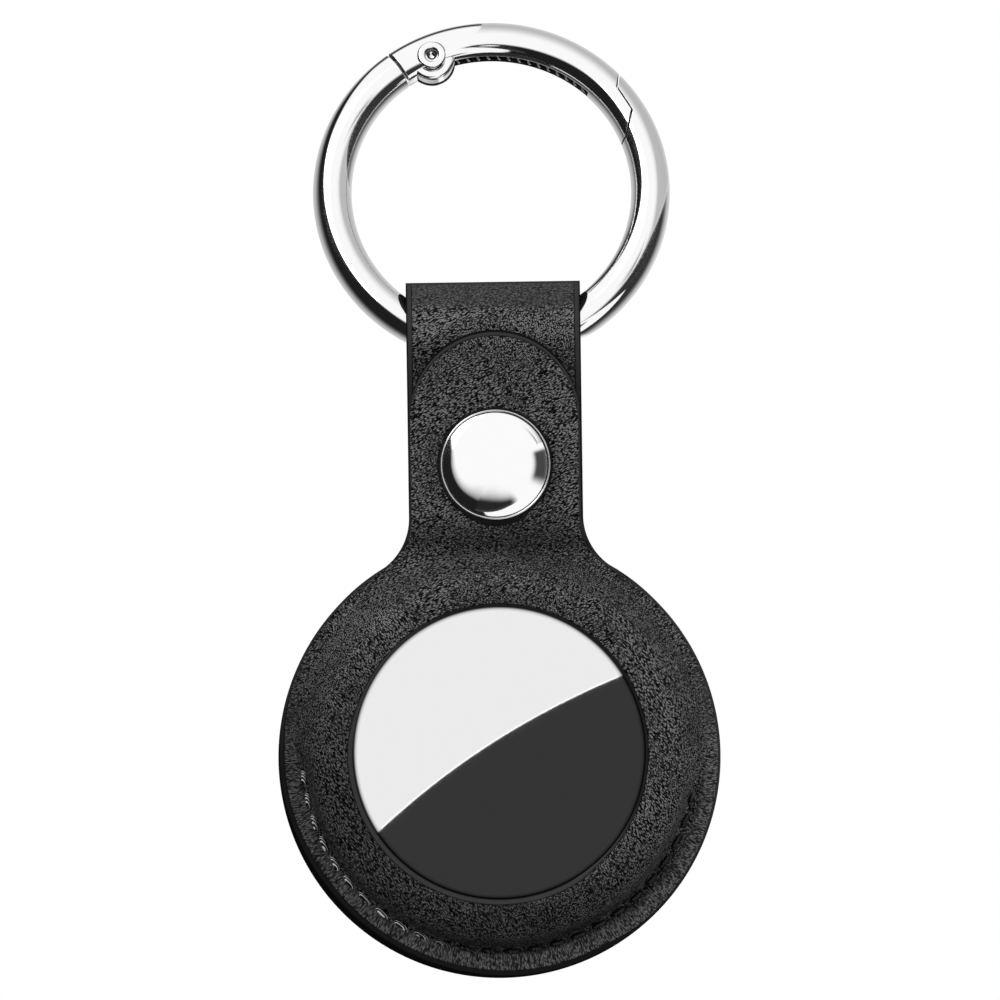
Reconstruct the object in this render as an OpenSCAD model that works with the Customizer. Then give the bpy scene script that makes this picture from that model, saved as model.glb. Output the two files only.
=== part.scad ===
// Leather key fob for a round tracking tag, hung on a spring gate ring.
// Millimetres. X is to the right, Z is up, and the front of the fob faces -Y.
// The origin is the centre of the ring.

/* [Ring] */
// Inner diameter of the spring ring
ring_inner_d = 25.4; // [23:0.1:30]
// Diameter of the ring's round section
ring_wire_d = 3.5; // [3.2:0.1:4]
// Angle by which the ring leans back from the fob
ring_lean = 18; // [0:1:35]
// Angle of the gate's hinge pin, counterclockwise from the ring's right side
gate_pin_angle = 112.4; // [105:0.1:118]
// Angle from the hinge pin to the end of the gate's tail
gate_tail_turn = 12.6; // [12:0.1:16]
// Distance of the hinge pin inside the wire's centre line
gate_pin_inset = 0.7; // [0.4:0.05:0.9]
// Diameter of the hinge pin's shank
gate_pin_d = 1.9; // [1.6:0.05:2]
// Diameter of the hole through the hinge pin
gate_pin_bore_d = 1.2; // [0.8:0.05:1.3]
// Diameter of the hinge pin's rolled heads
gate_pin_head_d = 2.5; // [2.3:0.05:2.7]
// Diameter of the gate's knuckle round the pin
gate_knuckle_d = 4.2; // [3.8:0.1:4.6]
// Width of the channel inside the gate
gate_channel_w = 1.5; // [1.4:0.05:1.7]
// Thickness of the web that closes the gate's channel on the outside
gate_web_t = 0.9; // [0.7:0.05:1]
// Angle at which the gate's channel ends, near the latch
gate_channel_angle = 46; // [44:1:60]
// Gap between the frame and the gate's tail
gate_tail_gap = 0.3; // [0.2:0.05:0.5]
// Gap between the faces of the latch
latch_gap = 0.12; // [0.08:0.01:0.2]
// Diameter of the coil of the gate's spring
gate_spring_d = 1.15; // [0.9:0.05:1.2]
// Diameter of the wire of the gate's spring
gate_spring_wire_d = 0.22; // [0.18:0.01:0.26]
// Number of turns of the gate's spring
gate_spring_turns = 14; // [10:1:15]

/* [Leather] */
// Thickness of the leather
leather_t = 1.1; // [0.9:0.05:1.2]
// Width of the pouch's rim outside the tag
seam_w = 4.1; // [3.9:0.05:7]
// Width of the strap that goes round the ring
strap_w = 15.8; // [13:0.1:17]
// Width of the tongue that closes over the strap
tongue_w = 15.3; // [12:0.1:16.5]
// Radius of the curve where the strap widens into the pouch
flare_r = 5.6; // [4:0.1:7]
// Distance from the rivet's flange to where the strap's two legs part
strap_grip = 0.15; // [0.1:0.05:3]
// Distance of the tongue's tip below the axis of the strap's fold
tongue_tip_drop = 0.15; // [0:0.05:1.5]
// Distance of the strap's free end below the snap
strap_end_drop = 5.1; // [4.6:0.1:5.6]
// Half angle between the two legs of the strap under the ring
strap_spread = 24.8; // [22:0.1:28]
// Gap between the strap's two layers
strap_slit = 0.05; // [0.03:0.01:0.1]
// Width of the leather that laps the tag round the window
window_lap = 2.55; // [2.35:0.05:6]
// Distance of the stitches outside the foot of the pouch's wall
stitch_out = 0.2; // [0.1:0.05:0.8]
// Depth of the groove that the stitches lie in
stitch_groove_d = 0.2; // [0.1:0.05:0.3]
// Distance of the front's crest inside the edge of the tag
crest_in = 0.85; // [0.65:0.05:1.4]
// Radius of the front's slope from its crest to the window
window_slope_r = 4; // [3.5:0.1:6]
// Radius of the pouch's rounded back edge
dome_edge_r = 3.1; // [2.2:0.1:3.5]
// Radius of the fillet at the foot of the pouch's wall
foot_r = 0.5; // [0.3:0.05:0.6]

/* [Tag] */
// Diameter of the coin cell
cell_d = 20; // [16:0.1:24.5]
// Thickness of the coin cell
cell_t = 3.2; // [2.5:0.05:4]
// Width of the steel cover outside the coin cell
cover_margin = 3.9; // [3.8:0.05:5]
// Width of the tag's shell outside the steel cover
shell_margin = 2.05; // [2:0.05:3]
// Height of the tag beyond that of its cell
works_h = 4.8; // [4.7:0.05:6]
// Height of the tag's centre above the pouch's centre
tag_rise = 0.4; // [0:0.05:0.6]
// Radius of the tag's front edge
tag_front_edge_r = 1.9; // [1:0.1:1.9]
// Radius of the tag's back edge
tag_back_edge_r = 3; // [2:0.1:3.4]
// Wall of the tag's shell
tag_wall = 0.9; // [0.8:0.05:1]
// Thickness of the steel cover
cover_t = 0.4; // [0.3:0.05:0.45]

/* [Snap] */
// Height of the snap above the edge of the pouch
snap_rise = 6.45; // [6.1:0.05:9]
// Diameter of the domed cap
cap_d = 10; // [8.4:0.1:11]
// Height of the cap above the leather
cap_h = 1.95; // [1.5:0.05:2.3]
// Height of the cap's straight edge
cap_edge_h = 0.4; // [0.2:0.05:0.5]
// Diameter of the socket behind the tongue
socket_d = 8; // [7.2:0.1:8.2]
// Height of the socket
socket_h = 1.45; // [1.4:0.05:1.6]
// Diameter of the stud's flange
stud_flange_d = 7; // [6:0.1:7.6]
// Diameter of the stud's bulb
stud_d = 3.8; // [3.6:0.05:3.9]
// Diameter of the flange at the back of the strap
post_flange_d = 8; // [7:0.1:9.5]
// Thickness of the flange at the back of the strap
post_flange_t = 0.5; // [0.3:0.05:0.7]

/* [Fits] */
// Radial clearance of pins and rivets in their holes
pin_clear = 0.05; // [0.02:0.01:0.08]
// Clearance of the ring's wire in the strap's fold
loop_clear = 0.17; // [0.1:0.01:0.4]
// Clearance all round the tag in the pouch
tag_clear = 0.15; // [0.1:0.01:0.2]
// Gap between the flap and what it lies on
flap_gap = 0.1; // [0.05:0.01:0.2]
// Gap between moving parts of the tag and the snap
part_gap = 0.1; // [0.05:0.01:0.12]

/* [Hidden] */
$fn = 96;
arc_steps = 8;
overrun = 1;

// Ring
wire_r = ring_wire_d / 2;
ring_r = ring_inner_d / 2 + wire_r;
ring_eye_r = ring_inner_d / 2;
gate_tail_angle = gate_pin_angle + gate_tail_turn;
pin_at_r = ring_r - gate_pin_inset;
pin_at = polar(pin_at_r, gate_pin_angle);
// The latch steps in from the outside of the wire to its inside: the angle of each
// corner, and its distance outside the centre line as a share of the wire's radius.
latch_angles = [46, 39.3, 29.4, 21.4, 17.7];
latch_shares = [1.6, 0.27, 0.19, -0.69, -1.68];
gate_inner_share = 0.45;
gate_outer_share = 1.6;
gate_tongue_play = 0.15;
gate_tongue_t = gate_channel_w - gate_tongue_play;
gate_tongue_out_share = 0.45;
gate_tongue_in_share = 0.9;
gate_eye_wall = 0.6;
gate_eye_r = gate_pin_d / 2 + pin_clear + gate_eye_wall;
gate_eye_clear = 0.15;
gate_knuckle_w = 2 * sqrt(pow(wire_r, 2) - pow(gate_pin_inset, 2));
gate_pin_head_t = 0.3;
gate_pin_seat_clear = 0.05;
gate_spring_inset = 0.4;
gate_spring_r = pin_at_r - gate_spring_inset;
gate_spring_start = gate_pin_angle - asin((gate_eye_r + gate_spring_wire_d) / gate_spring_r);
gate_spring_rest = 1;
gate_spring_end = gate_channel_angle + gate_spring_rest;
gate_spring_rings = 8;
gate_spring_sides = 6;

// Pouch
cover_d = cell_d + 2 * cover_margin;
tag_d = cover_d + 2 * shell_margin;
tag_t = cell_t + works_h;
pouch_d = tag_d + 2 * seam_w;
pouch_r = pouch_d / 2;
tag_space_r = tag_d / 2 + tag_clear;
tag_end_play = 0.1;
tag_space_h = tag_t / 2 + tag_end_play;
pouch_side_r = tag_space_r + leather_t;
pouch_top_h = tag_space_h + leather_t;
pouch_foot_r = pouch_side_r + foot_r;
crest_r = tag_d / 2 - crest_in;
crest_edge_r = pouch_side_r - crest_r;
window_r = tag_d / 2 - window_lap;
stitch_r = pouch_foot_r + stitch_out;
bend_h = tag_rise;
bend_gap = flap_gap / 2;
stitch_rise = tag_rise / 2;
flap_t = leather_t - flap_gap;
flare_bite = 0.01;

// Strap
strap_front = strap_slit + leather_t;
snap_h = pouch_r + snap_rise;
strap_end_h = snap_h - strap_end_drop;
// The wire curves up inside the fold, so its lowest and highest points lie equally
// far from the fold's axis.
fold_drop = (ring_eye_r - sqrt(pow(ring_eye_r, 2) - pow(strap_w / 2, 2))) / 2;
fold_inner_r = fold_drop + wire_r + loop_clear;
fold_outer_r = fold_inner_r + leather_t;
legs_part_h = snap_h + post_flange_d / 2 + strap_grip;
fold_h = legs_part_h + fold_outer_r / sin(strap_spread) - leather_t / tan(strap_spread);
tongue_tip_h = fold_h - tongue_tip_drop;
fold_reach = ring_r - fold_drop;
fob_y = -fold_reach * sin(ring_lean) + strap_slit / 2;
fob_z = -fold_reach * cos(ring_lean) - fold_h;

// Snap
stud_flange_t = 0.3;
stud_neck_h = 0.6;
stud_bulb_h = 0.55;
stud_neck_share = 0.79;
stud_base = strap_front;
stud_neck_base = stud_base + stud_flange_t;
stud_bulb_base = stud_neck_base + stud_neck_h;
stud_top = stud_bulb_base + stud_bulb_h;
rivet_r = 1;
rivet_flare = 0.35;
snap_play = 0.15;
socket_base = stud_neck_base + snap_play;
tongue_back = socket_base + socket_h;
tongue_front = tongue_back + flap_t;
socket_web_t = 0.15;
socket_lip_h = 0.1;
socket_lip_clear = 0.2;
socket_lip_w = 0.2;
socket_lip_r = stud_d / 2 + socket_lip_clear;
socket_space_r = socket_lip_r + socket_lip_w;
socket_edge_r = 0.45;
cap_shank_r = 1.45;
cap_shank_wall = 0.45;
cap_roll_t = 0.16;
cap_roll_r = socket_space_r - snap_play;
socket_wire_r = 0.18;
socket_split = 40;
cap_r = cap_d / 2;
tongue_ramp_start = tag_rise + pouch_foot_r + flap_gap;
tongue_flat_over = 0.2;
tongue_ramp_end = snap_h - socket_d / 2 - tongue_flat_over;
tongue_lean_start = snap_h + max(socket_d, cap_d) / 2 + tongue_flat_over;
tongue_tip_gap = 0.5;
tongue_tip_back = fold_outer_r + strap_slit / 2 + tongue_tip_gap;

// Tag
tag_r = tag_d / 2;
tag_top = tag_t / 2;
cover_r = cover_d / 2;
cover_edge_r = 0.25;
cover_base = tag_top - cover_t;
shell_space_r = cover_r + part_gap;
frame_wall = 0.5;
frame_r = shell_space_r - pin_clear;
frame_space_r = frame_r - frame_wall;
frame_top = cover_base - part_gap;
lug_t = 0.6;
lug_span = 18;
tab_t = 0.5;
tab_span = 14;
bayonet_count = 3;
bayonet_pitch = 360 / bayonet_count;
tab_top = frame_top - lug_t - part_gap;
tab_base = tab_top - tab_t;
lug_l = 0.95;
cell_side_gap = 0.5;
bayonet_outer_r = frame_space_r - lug_l;
bayonet_inner_r = cell_d / 2 + cell_side_gap;
cell_top = cover_base - part_gap;
cell_base = cell_top - cell_t;
contact_rise = 0.45;
contact_t = 0.15;
floor_top = cell_base - contact_rise - part_gap;
floor_t = 0.5;
floor_base = floor_top - floor_t;
board_t = 0.6;
board_base = floor_base - board_t;
board_inner_share = 0.55;
shell_floor = -tag_top + tag_wall;
coil_r = 6.2;
coil_wall = 0.6;
magnet_gap = 0.15;
magnet_r = coil_r - coil_wall - magnet_gap;
chip_places = [[30, 0.78], [75, 0.76], [150, 0.8], [215, 0.77], [300, 0.79]];
chip_share = 0.17;
chip_t = 0.5;

function polar(r, a) = [r * cos(a), r * sin(a)];
function unit(v) = v / norm(v);
function arc(centre, r, from, to) =
    [for (i = [0 : arc_steps]) centre + polar(r, from + (to - from) * i / arc_steps)];
function flare_h(width) =
    sqrt(pow(pouch_r + flare_r - flare_bite, 2) - pow(width / 2 + flare_r, 2));

// Places a piece that is drawn flat, with its front up, in the ring's leaning plane
module in_ring() {
    rotate([90 - ring_lean, 0, 0])
        children();
}

// Places a piece that is drawn flat, with its front up, on the hanging fob
module in_fob() {
    translate([0, fob_y, fob_z])
        rotate([90, 0, 0])
            children();
}

module at_tag() {
    in_fob()
        translate([0, tag_rise])
            children();
}

module at_snap() {
    in_fob()
        translate([0, snap_h])
            children();
}

module behind() {
    mirror([0, 0, 1])
        children();
}

// Extrudes a side view, forward by up, across the fob
module across(width) {
    rotate([0, -90, 0])
        linear_extrude(height = width, center = true)
            children();
}

module slab(width, height, from, to) {
    translate([-width / 2, 0, from])
        linear_extrude(height = to - from)
            square([width, height]);
}

module ring_wire() {
    rotate_extrude()
        translate([ring_r, 0])
            circle(r = wire_r);
}

module sector(r, from, to) {
    polygon(concat([[0, 0]], [for (i = [0 : arc_steps]) polar(r, from + (to - from) * i / arc_steps)]));
}

// The area that the gate fills, grown by an allowance at its tail and at its latch
module gate_area(tail_allowance, latch_allowance) {
    tail = gate_tail_angle + atan(tail_allowance / ring_r);
    outer_r = ring_r * gate_outer_share;
    inner_r = ring_r * gate_inner_share;
    polygon(concat(
        [for (i = [0 : 3]) polar(outer_r, tail + (latch_angles[0] - tail) * i / 3)],
        [for (i = [0 : len(latch_angles) - 1]) polar(ring_r + wire_r * latch_shares[i] + latch_allowance,
            latch_angles[i] - atan(latch_allowance / ring_r))],
        [for (i = [0 : 3]) polar(inner_r, latch_angles[4] + (tail - latch_angles[4]) * i / 3)]));
}

module gate_tongue() {
    linear_extrude(height = gate_tongue_t, center = true) {
        translate(pin_at)
            circle(r = gate_eye_r);
        intersection() {
            difference() {
                circle(r = ring_r + wire_r * gate_tongue_out_share);
                circle(r = ring_r - wire_r * gate_tongue_in_share);
            }
            sector(ring_r * gate_outer_share, gate_pin_angle, gate_tail_angle + gate_tail_turn / 3);
        }
    }
}

module gate_channel() {
    linear_extrude(height = gate_channel_w, center = true) {
        translate(pin_at)
            circle(r = gate_eye_r + gate_eye_clear);
        intersection() {
            difference() {
                circle(r = ring_r + wire_r - gate_web_t);
                circle(r = ring_r * gate_inner_share);
            }
            sector(ring_r * gate_outer_share, gate_channel_angle, gate_tail_angle + gate_tail_turn / 2);
        }
    }
}

module gate_pin_hole() {
    translate(pin_at)
        cylinder(r = gate_pin_d / 2 + pin_clear, h = 2 * ring_wire_d, center = true);
}

module ring_frame() {
    color("silver")
        in_ring()
            difference() {
                union() {
                    difference() {
                        ring_wire();
                        linear_extrude(height = 2 * ring_wire_d, center = true)
                            gate_area(gate_tail_gap / 2, latch_gap / 2);
                    }
                    gate_tongue();
                }
                gate_pin_hole();
            }
}

module ring_gate() {
    color("lightgray")
        in_ring()
            difference() {
                union() {
                    intersection() {
                        ring_wire();
                        linear_extrude(height = 2 * ring_wire_d, center = true)
                            gate_area(-gate_tail_gap / 2, -latch_gap / 2);
                    }
                    translate(pin_at)
                        cylinder(d = gate_knuckle_d, h = gate_knuckle_w, center = true);
                }
                gate_channel();
                gate_pin_hole();
                for (side = [0, 1])
                    mirror([0, 0, side])
                        translate([pin_at[0], pin_at[1], gate_knuckle_w / 2])
                            cylinder(r = gate_pin_head_d / 2 + pin_clear, h = wire_r);
            }
}

module gate_pin() {
    bore = gate_pin_bore_d / 2;
    head = gate_pin_head_d / 2;
    seat = gate_knuckle_w / 2 + gate_pin_seat_clear;
    top = seat + gate_pin_head_t;
    bevel = gate_pin_head_t / 2;
    half = [[gate_pin_d / 2, seat], [head, seat], [head, top - bevel], [head - bevel, top], [bore + bevel, top],
        [bore, top - bevel]];
    color("gainsboro")
        in_ring()
            translate(pin_at)
                rotate_extrude()
                    polygon(concat(half, [for (i = [len(half) - 1 : -1 : 0]) [half[i][0], -half[i][1]]]));
}

// The centre line of the gate's spring and the frame of its wire at one ring of points
function spring_axis(t) = gate_spring_start + (gate_spring_end - gate_spring_start) * t;
function spring_out(t) =
    let (a = spring_axis(t), turn = 360 * gate_spring_turns * t)
        [cos(a) * cos(turn), sin(a) * cos(turn), sin(turn)];
function spring_point(t) =
    let (a = spring_axis(t))
        [gate_spring_r * cos(a), gate_spring_r * sin(a), 0]
        + (gate_spring_d - gate_spring_wire_d) / 2 * spring_out(t);
spring_count = gate_spring_turns * gate_spring_rings;
spring_path = [for (i = [0 : spring_count]) spring_point(i / spring_count)];

// The least distance between two turns' wire, which stays over 0.4 mm
spring_gap = min([for (i = [0 : spring_count - gate_spring_rings / 2])
    for (j = [i + gate_spring_rings / 2 : min(i + 3 * gate_spring_rings / 2, spring_count)])
        norm(spring_path[i] - spring_path[j])]) - gate_spring_wire_d;
echo(str("Least gap between the turns of the gate's spring: ", spring_gap, " mm"));

module gate_spring() {
    sides = gate_spring_sides;
    points = [for (i = [0 : spring_count])
        let (along = unit(spring_path[min(i + 1, spring_count)] - spring_path[max(i - 1, 0)]),
            out = spring_out(i / spring_count),
            side = unit(cross(along, out)))
        for (k = [0 : sides - 1])
            spring_path[i] + gate_spring_wire_d / 2 * (cos(360 * k / sides) * cross(side, along)
                + sin(360 * k / sides) * side)];
    walls = [for (i = [0 : spring_count - 1]) for (k = [0 : sides - 1])
        let (a = i * sides + k, b = i * sides + (k + 1) % sides)
            each [[a, a + sides, b + sides], [a, b + sides, b]]];
    last = spring_count * sides;
    ends = [for (k = [1 : sides - 2]) each [[0, k, k + 1], [last, last + k + 1, last + k]]];
    color("darkgray")
        in_ring()
            polyhedron(points = points, faces = concat(walls, ends));
}

// The curve on each side where a strap of the given width widens into the pouch
module flare(width) {
    h = flare_h(width);
    side = width / 2 + flare_r;
    meet = [side, h] * pouch_r / (pouch_r + flare_r);
    difference() {
        polygon([[-meet[0], meet[1]], [0, 0], meet, [side, h], [-side, h]]);
        for (x = [-side, side])
            translate([x, h])
                circle(r = flare_r);
    }
}

module pouch_outline(width) {
    circle(r = pouch_r);
    flare(width);
}

module tongue_outline() {
    translate([-tongue_w / 2, 0])
        square([tongue_w, tongue_tip_h - tongue_w / 2]);
    translate([0, tongue_tip_h - tongue_w / 2])
        circle(r = tongue_w / 2);
}

// Section of the front's raised part: window edge, crest, wall, foot and inside
function front_section(base) = concat(
    arc([crest_r, pouch_top_h - window_slope_r], window_slope_r, 180 - acos((crest_r - window_r) / window_slope_r), 90),
    arc([crest_r, pouch_top_h - crest_edge_r], crest_edge_r, 90 - 90 / arc_steps, 0),
    arc([pouch_foot_r, leather_t + foot_r], foot_r, 180, 270),
    [[pouch_foot_r, base], [tag_space_r, base]],
    arc([crest_r, pouch_top_h - crest_edge_r], crest_edge_r - leather_t, 0, 90),
    [[window_r, tag_space_h]]);

// Section of the closed back, from its middle outwards
back_section = concat(
    [[0, pouch_top_h]],
    arc([pouch_side_r - dome_edge_r, pouch_top_h - dome_edge_r], dome_edge_r, 90, 0),
    arc([pouch_foot_r, leather_t + foot_r], foot_r, 180, 270),
    [[pouch_foot_r, 0], [tag_space_r, 0]],
    arc([pouch_side_r - dome_edge_r, pouch_top_h - dome_edge_r], dome_edge_r - leather_t, 0, 90),
    [[0, tag_space_h]]);

module raised(section) {
    translate([0, tag_rise])
        rotate_extrude()
            polygon(section);
}

module rim(width, base) {
    translate([0, 0, base])
        linear_extrude(height = leather_t - base)
            difference() {
                pouch_outline(width);
                translate([0, tag_rise])
                    circle(r = tag_space_r);
            }
}

module stitch_groove() {
    translate([0, stitch_rise, leather_t])
        rotate_extrude()
            translate([stitch_r, 0])
                circle(r = stitch_groove_d);
}

module below_bend(allowance) {
    translate([-pouch_d, bend_h - allowance - 2 * pouch_d, -pouch_d])
        linear_extrude(height = 2 * pouch_d)
            square([2 * pouch_d, 2 * pouch_d]);
}

// Side view of the strap's fold: a round eye whose tail closes to the two flat layers
module fold_side(r) {
    apex = r / sin(strap_spread);
    circle(r = r);
    polygon([[r * cos(strap_spread), -r * sin(strap_spread)], [0, -apex],
        [-r * cos(strap_spread), -r * sin(strap_spread)]]);
}

module strap_side() {
    join_h = fold_h - fold_inner_r / sin(strap_spread);
    difference() {
        union() {
            translate([strap_slit / 2, fold_h])
                fold_side(fold_outer_r);
            translate([-leather_t, strap_end_h])
                square([leather_t + strap_front, join_h - strap_end_h]);
        }
        translate([strap_slit / 2, fold_h])
            fold_side(fold_inner_r);
        translate([0, strap_end_h - overrun])
            square([strap_slit, fold_h - strap_end_h]);
        translate([-fold_outer_r, 0])
            square([2 * fold_outer_r, strap_end_h]);
    }
}

module back_panel() {
    color("#1c1b1a")
        in_fob()
            difference() {
                union() {
                    behind() {
                        raised(back_section);
                        rim(strap_w, 0);
                        linear_extrude(height = leather_t)
                            translate([-strap_w / 2, pouch_r - leather_t])
                                square([strap_w, strap_end_h - pouch_r + 2 * leather_t]);
                    }
                    across(strap_w)
                        strap_side();
                }
                translate([0, snap_h])
                    cylinder(r = rivet_r + pin_clear, h = 2 * fold_outer_r, center = true);
                intersection() {
                    behind()
                        stitch_groove();
                    below_bend(0);
                }
            }
}

module front_panel() {
    color("#232120")
        in_fob()
            intersection() {
                difference() {
                    union() {
                        raised(front_section(0));
                        linear_extrude(height = leather_t)
                            difference() {
                                circle(r = pouch_r);
                                translate([0, tag_rise])
                                    circle(r = tag_space_r);
                            }
                    }
                    stitch_groove();
                }
                below_bend(bend_gap);
            }
}

// Points, forward by up, that step forward smoothly from one height to another
function step_line(from, to) =
    [for (i = [0 : arc_steps]) let (share = i / arc_steps)
        [from[0] + (to[0] - from[0]) * (1 - cos(180 * share)) / 2, from[1] + (to[1] - from[1]) * share]];

// Side view of the tongue, from the foot of the pouch over the snap to its tip
tongue_side = let (
        back = concat(step_line([flap_gap, tongue_ramp_start], [tongue_back, tongue_ramp_end]),
            [[tongue_back, tongue_lean_start], [tongue_tip_back, tongue_tip_h + leather_t]]),
        front = concat(step_line([leather_t, tongue_ramp_start], [tongue_front, tongue_ramp_end - flap_t / 2]),
            [[tongue_front, tongue_lean_start], [tongue_tip_back + flap_t, tongue_tip_h + leather_t]]))
    concat(back, [for (i = [len(front) - 1 : -1 : 0]) front[i]]);

module front_flap() {
    color("#2a2826")
        in_fob()
            difference() {
                union() {
                    difference() {
                        union() {
                            raised(front_section(flap_gap));
                            rim(tongue_w, flap_gap);
                        }
                        below_bend(-bend_gap);
                        translate([0, tongue_ramp_start])
                            slab(2 * pouch_d, pouch_d, -overrun, pouch_top_h);
                    }
                    intersection() {
                        across(2 * pouch_d)
                            polygon(tongue_side);
                        linear_extrude(height = 2 * tongue_front) {
                            pouch_outline(tongue_w);
                            tongue_outline();
                        }
                    }
                }
                translate([0, snap_h])
                    cylinder(r = cap_shank_r + pin_clear, h = 2 * tongue_front);
            }
}

// The cap's dome, with its hollow shank rolled over inside the socket
module snap_cap() {
    rise = cap_h - cap_edge_h;
    dome_r = (pow(cap_r, 2) + pow(rise, 2)) / (2 * rise);
    dome_angle = asin(cap_r / dome_r);
    roll_base = tongue_back - socket_web_t - pin_clear - cap_roll_t;
    crown = arc([0, tongue_front + cap_h - dome_r], dome_r, 90, 90 - dome_angle);
    bore_r = cap_shank_r - cap_shank_wall;
    color("silver")
        at_snap()
            rotate_extrude()
                polygon(concat(crown, [[cap_r, tongue_front], [cap_shank_r, tongue_front],
                    [cap_shank_r, roll_base + cap_roll_t], [cap_roll_r, roll_base + cap_roll_t],
                    [cap_roll_r, roll_base], [bore_r, roll_base], [bore_r, tongue_front], [0, tongue_front]]));
}

module snap_socket() {
    outer_r = socket_d / 2;
    color("lightgray")
        at_snap()
            rotate_extrude()
                polygon(concat(
                    arc([outer_r - socket_edge_r, socket_base + socket_edge_r], socket_edge_r, -90, 0),
                    [[outer_r, tongue_back], [cap_shank_r + pin_clear, tongue_back],
                        [cap_shank_r + pin_clear, tongue_back - socket_web_t],
                        [socket_space_r, tongue_back - socket_web_t],
                        [socket_space_r, socket_base + socket_lip_h],
                        [socket_lip_r, socket_base + socket_lip_h], [socket_lip_r, socket_base]]));
}

// The split wire ring that grips the stud's neck
module socket_spring() {
    line_r = socket_space_r - socket_wire_r - pin_clear;
    color("gray")
        at_snap()
            translate([0, 0, socket_base + socket_lip_h + socket_wire_r + pin_clear])
                difference() {
                    rotate_extrude()
                        translate([line_r, 0])
                            circle(r = socket_wire_r);
                    translate([0, 0, -socket_wire_r - overrun])
                        linear_extrude(height = 2 * (socket_wire_r + overrun))
                            sector(2 * line_r, 90 - socket_split / 2, 90 + socket_split / 2);
                }
}

module snap_stud() {
    bulb_r = stud_d / 2;
    neck_r = bulb_r * stud_neck_share;
    bulge = stud_bulb_h / 2;
    bore_r = rivet_r + pin_clear;
    color("silver")
        at_snap()
            rotate_extrude()
                polygon(concat(
                    [[bore_r, stud_base], [stud_flange_d / 2, stud_base], [stud_flange_d / 2, stud_neck_base],
                        [neck_r, stud_neck_base], [neck_r, stud_bulb_base]],
                    arc([bulb_r - bulge, stud_bulb_base + bulge], bulge, -60, 90),
                    [[bore_r + rivet_flare, stud_top], [bore_r, stud_top - rivet_flare]]));
}

// The rivet that holds the strap's free end to its back, spread inside the stud
module snap_post() {
    flange_r = post_flange_d / 2;
    bevel = post_flange_t / 3;
    color("silver")
        at_snap()
            rotate_extrude()
                polygon([[0, -leather_t - post_flange_t], [flange_r - bevel, -leather_t - post_flange_t],
                    [flange_r, -leather_t - post_flange_t + bevel], [flange_r, -leather_t], [rivet_r, -leather_t],
                    [rivet_r, stud_top - rivet_flare], [rivet_r + rivet_flare - pin_clear, stud_top - pin_clear],
                    [0, stud_top - pin_clear]]);
}

module tag_shell() {
    inner_edge_r = tag_back_edge_r - tag_wall;
    color("white")
        at_tag()
            rotate_extrude()
                polygon(concat(
                    [[shell_space_r, tag_top - cover_t / 2]],
                    arc([tag_r - tag_front_edge_r, tag_top - cover_t / 2 - tag_front_edge_r],
                        tag_front_edge_r, 90, 0),
                    arc([tag_r - tag_back_edge_r, -tag_top + tag_back_edge_r], tag_back_edge_r, 0, -90),
                    [[0, -tag_top], [0, shell_floor]],
                    arc([shell_space_r - inner_edge_r, shell_floor + inner_edge_r], inner_edge_r, -90, 0)));
}

// The carrier that fills the shell: cell well, bayonet lugs, and a floor with the works below
module inner_frame() {
    well_r = cell_d / 2 + part_gap;
    color("#303030")
        at_tag()
            difference() {
                translate([0, 0, floor_base])
                    cylinder(r = frame_r, h = frame_top - floor_base);
                translate([0, 0, tab_base - part_gap])
                    cylinder(r = frame_space_r, h = tab_top - tab_base + 2 * part_gap);
                translate([0, 0, tab_base - part_gap])
                    cylinder(r = bayonet_outer_r + part_gap, h = tag_t);
                for (i = [0 : bayonet_count - 1])
                    translate([0, 0, tab_base - part_gap])
                        linear_extrude(height = tag_t)
                            intersection() {
                                circle(r = frame_space_r);
                                rotate(bayonet_pitch * i)
                                    sector(2 * frame_r, lug_span / 2, bayonet_pitch - lug_span / 2);
                            }
                translate([0, 0, floor_top])
                    cylinder(r = well_r, h = tag_t);
            }
}

// The ring clipped under the steel cover, with the tabs that turn beneath the lugs
module bayonet_ring() {
    color("whitesmoke")
        at_tag() {
            translate([0, 0, tab_base])
                linear_extrude(height = cover_base - tab_base)
                    difference() {
                        circle(r = bayonet_outer_r);
                        circle(r = bayonet_inner_r);
                    }
            translate([0, 0, tab_base])
                linear_extrude(height = tab_t)
                    for (i = [0 : bayonet_count - 1])
                        rotate(bayonet_pitch * i)
                            intersection() {
                                difference() {
                                    circle(r = frame_space_r - part_gap);
                                    circle(r = (bayonet_inner_r + bayonet_outer_r) / 2);
                                }
                                sector(2 * frame_r, -tab_span / 2, tab_span / 2);
                            }
        }
}

module battery_cover() {
    color("gainsboro")
        at_tag()
            rotate_extrude()
                polygon(concat([[0, cover_base], [cover_r, cover_base]],
                    arc([cover_r - cover_edge_r, tag_top - cover_edge_r], cover_edge_r, 0, 90),
                    [[0, tag_top]]));
}

module coin_cell() {
    rim_share = 0.1;
    edge = cell_t * rim_share;
    r = cell_d / 2;
    color("lightsteelblue")
        at_tag()
            rotate_extrude()
                polygon([[0, cell_base], [r - 3 * edge, cell_base], [r - 3 * edge, cell_base + edge],
                    [r - edge, cell_base + edge], [r, cell_base + 2 * edge], [r, cell_top - edge],
                    [r - edge, cell_top], [0, cell_top]]);
}

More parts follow.
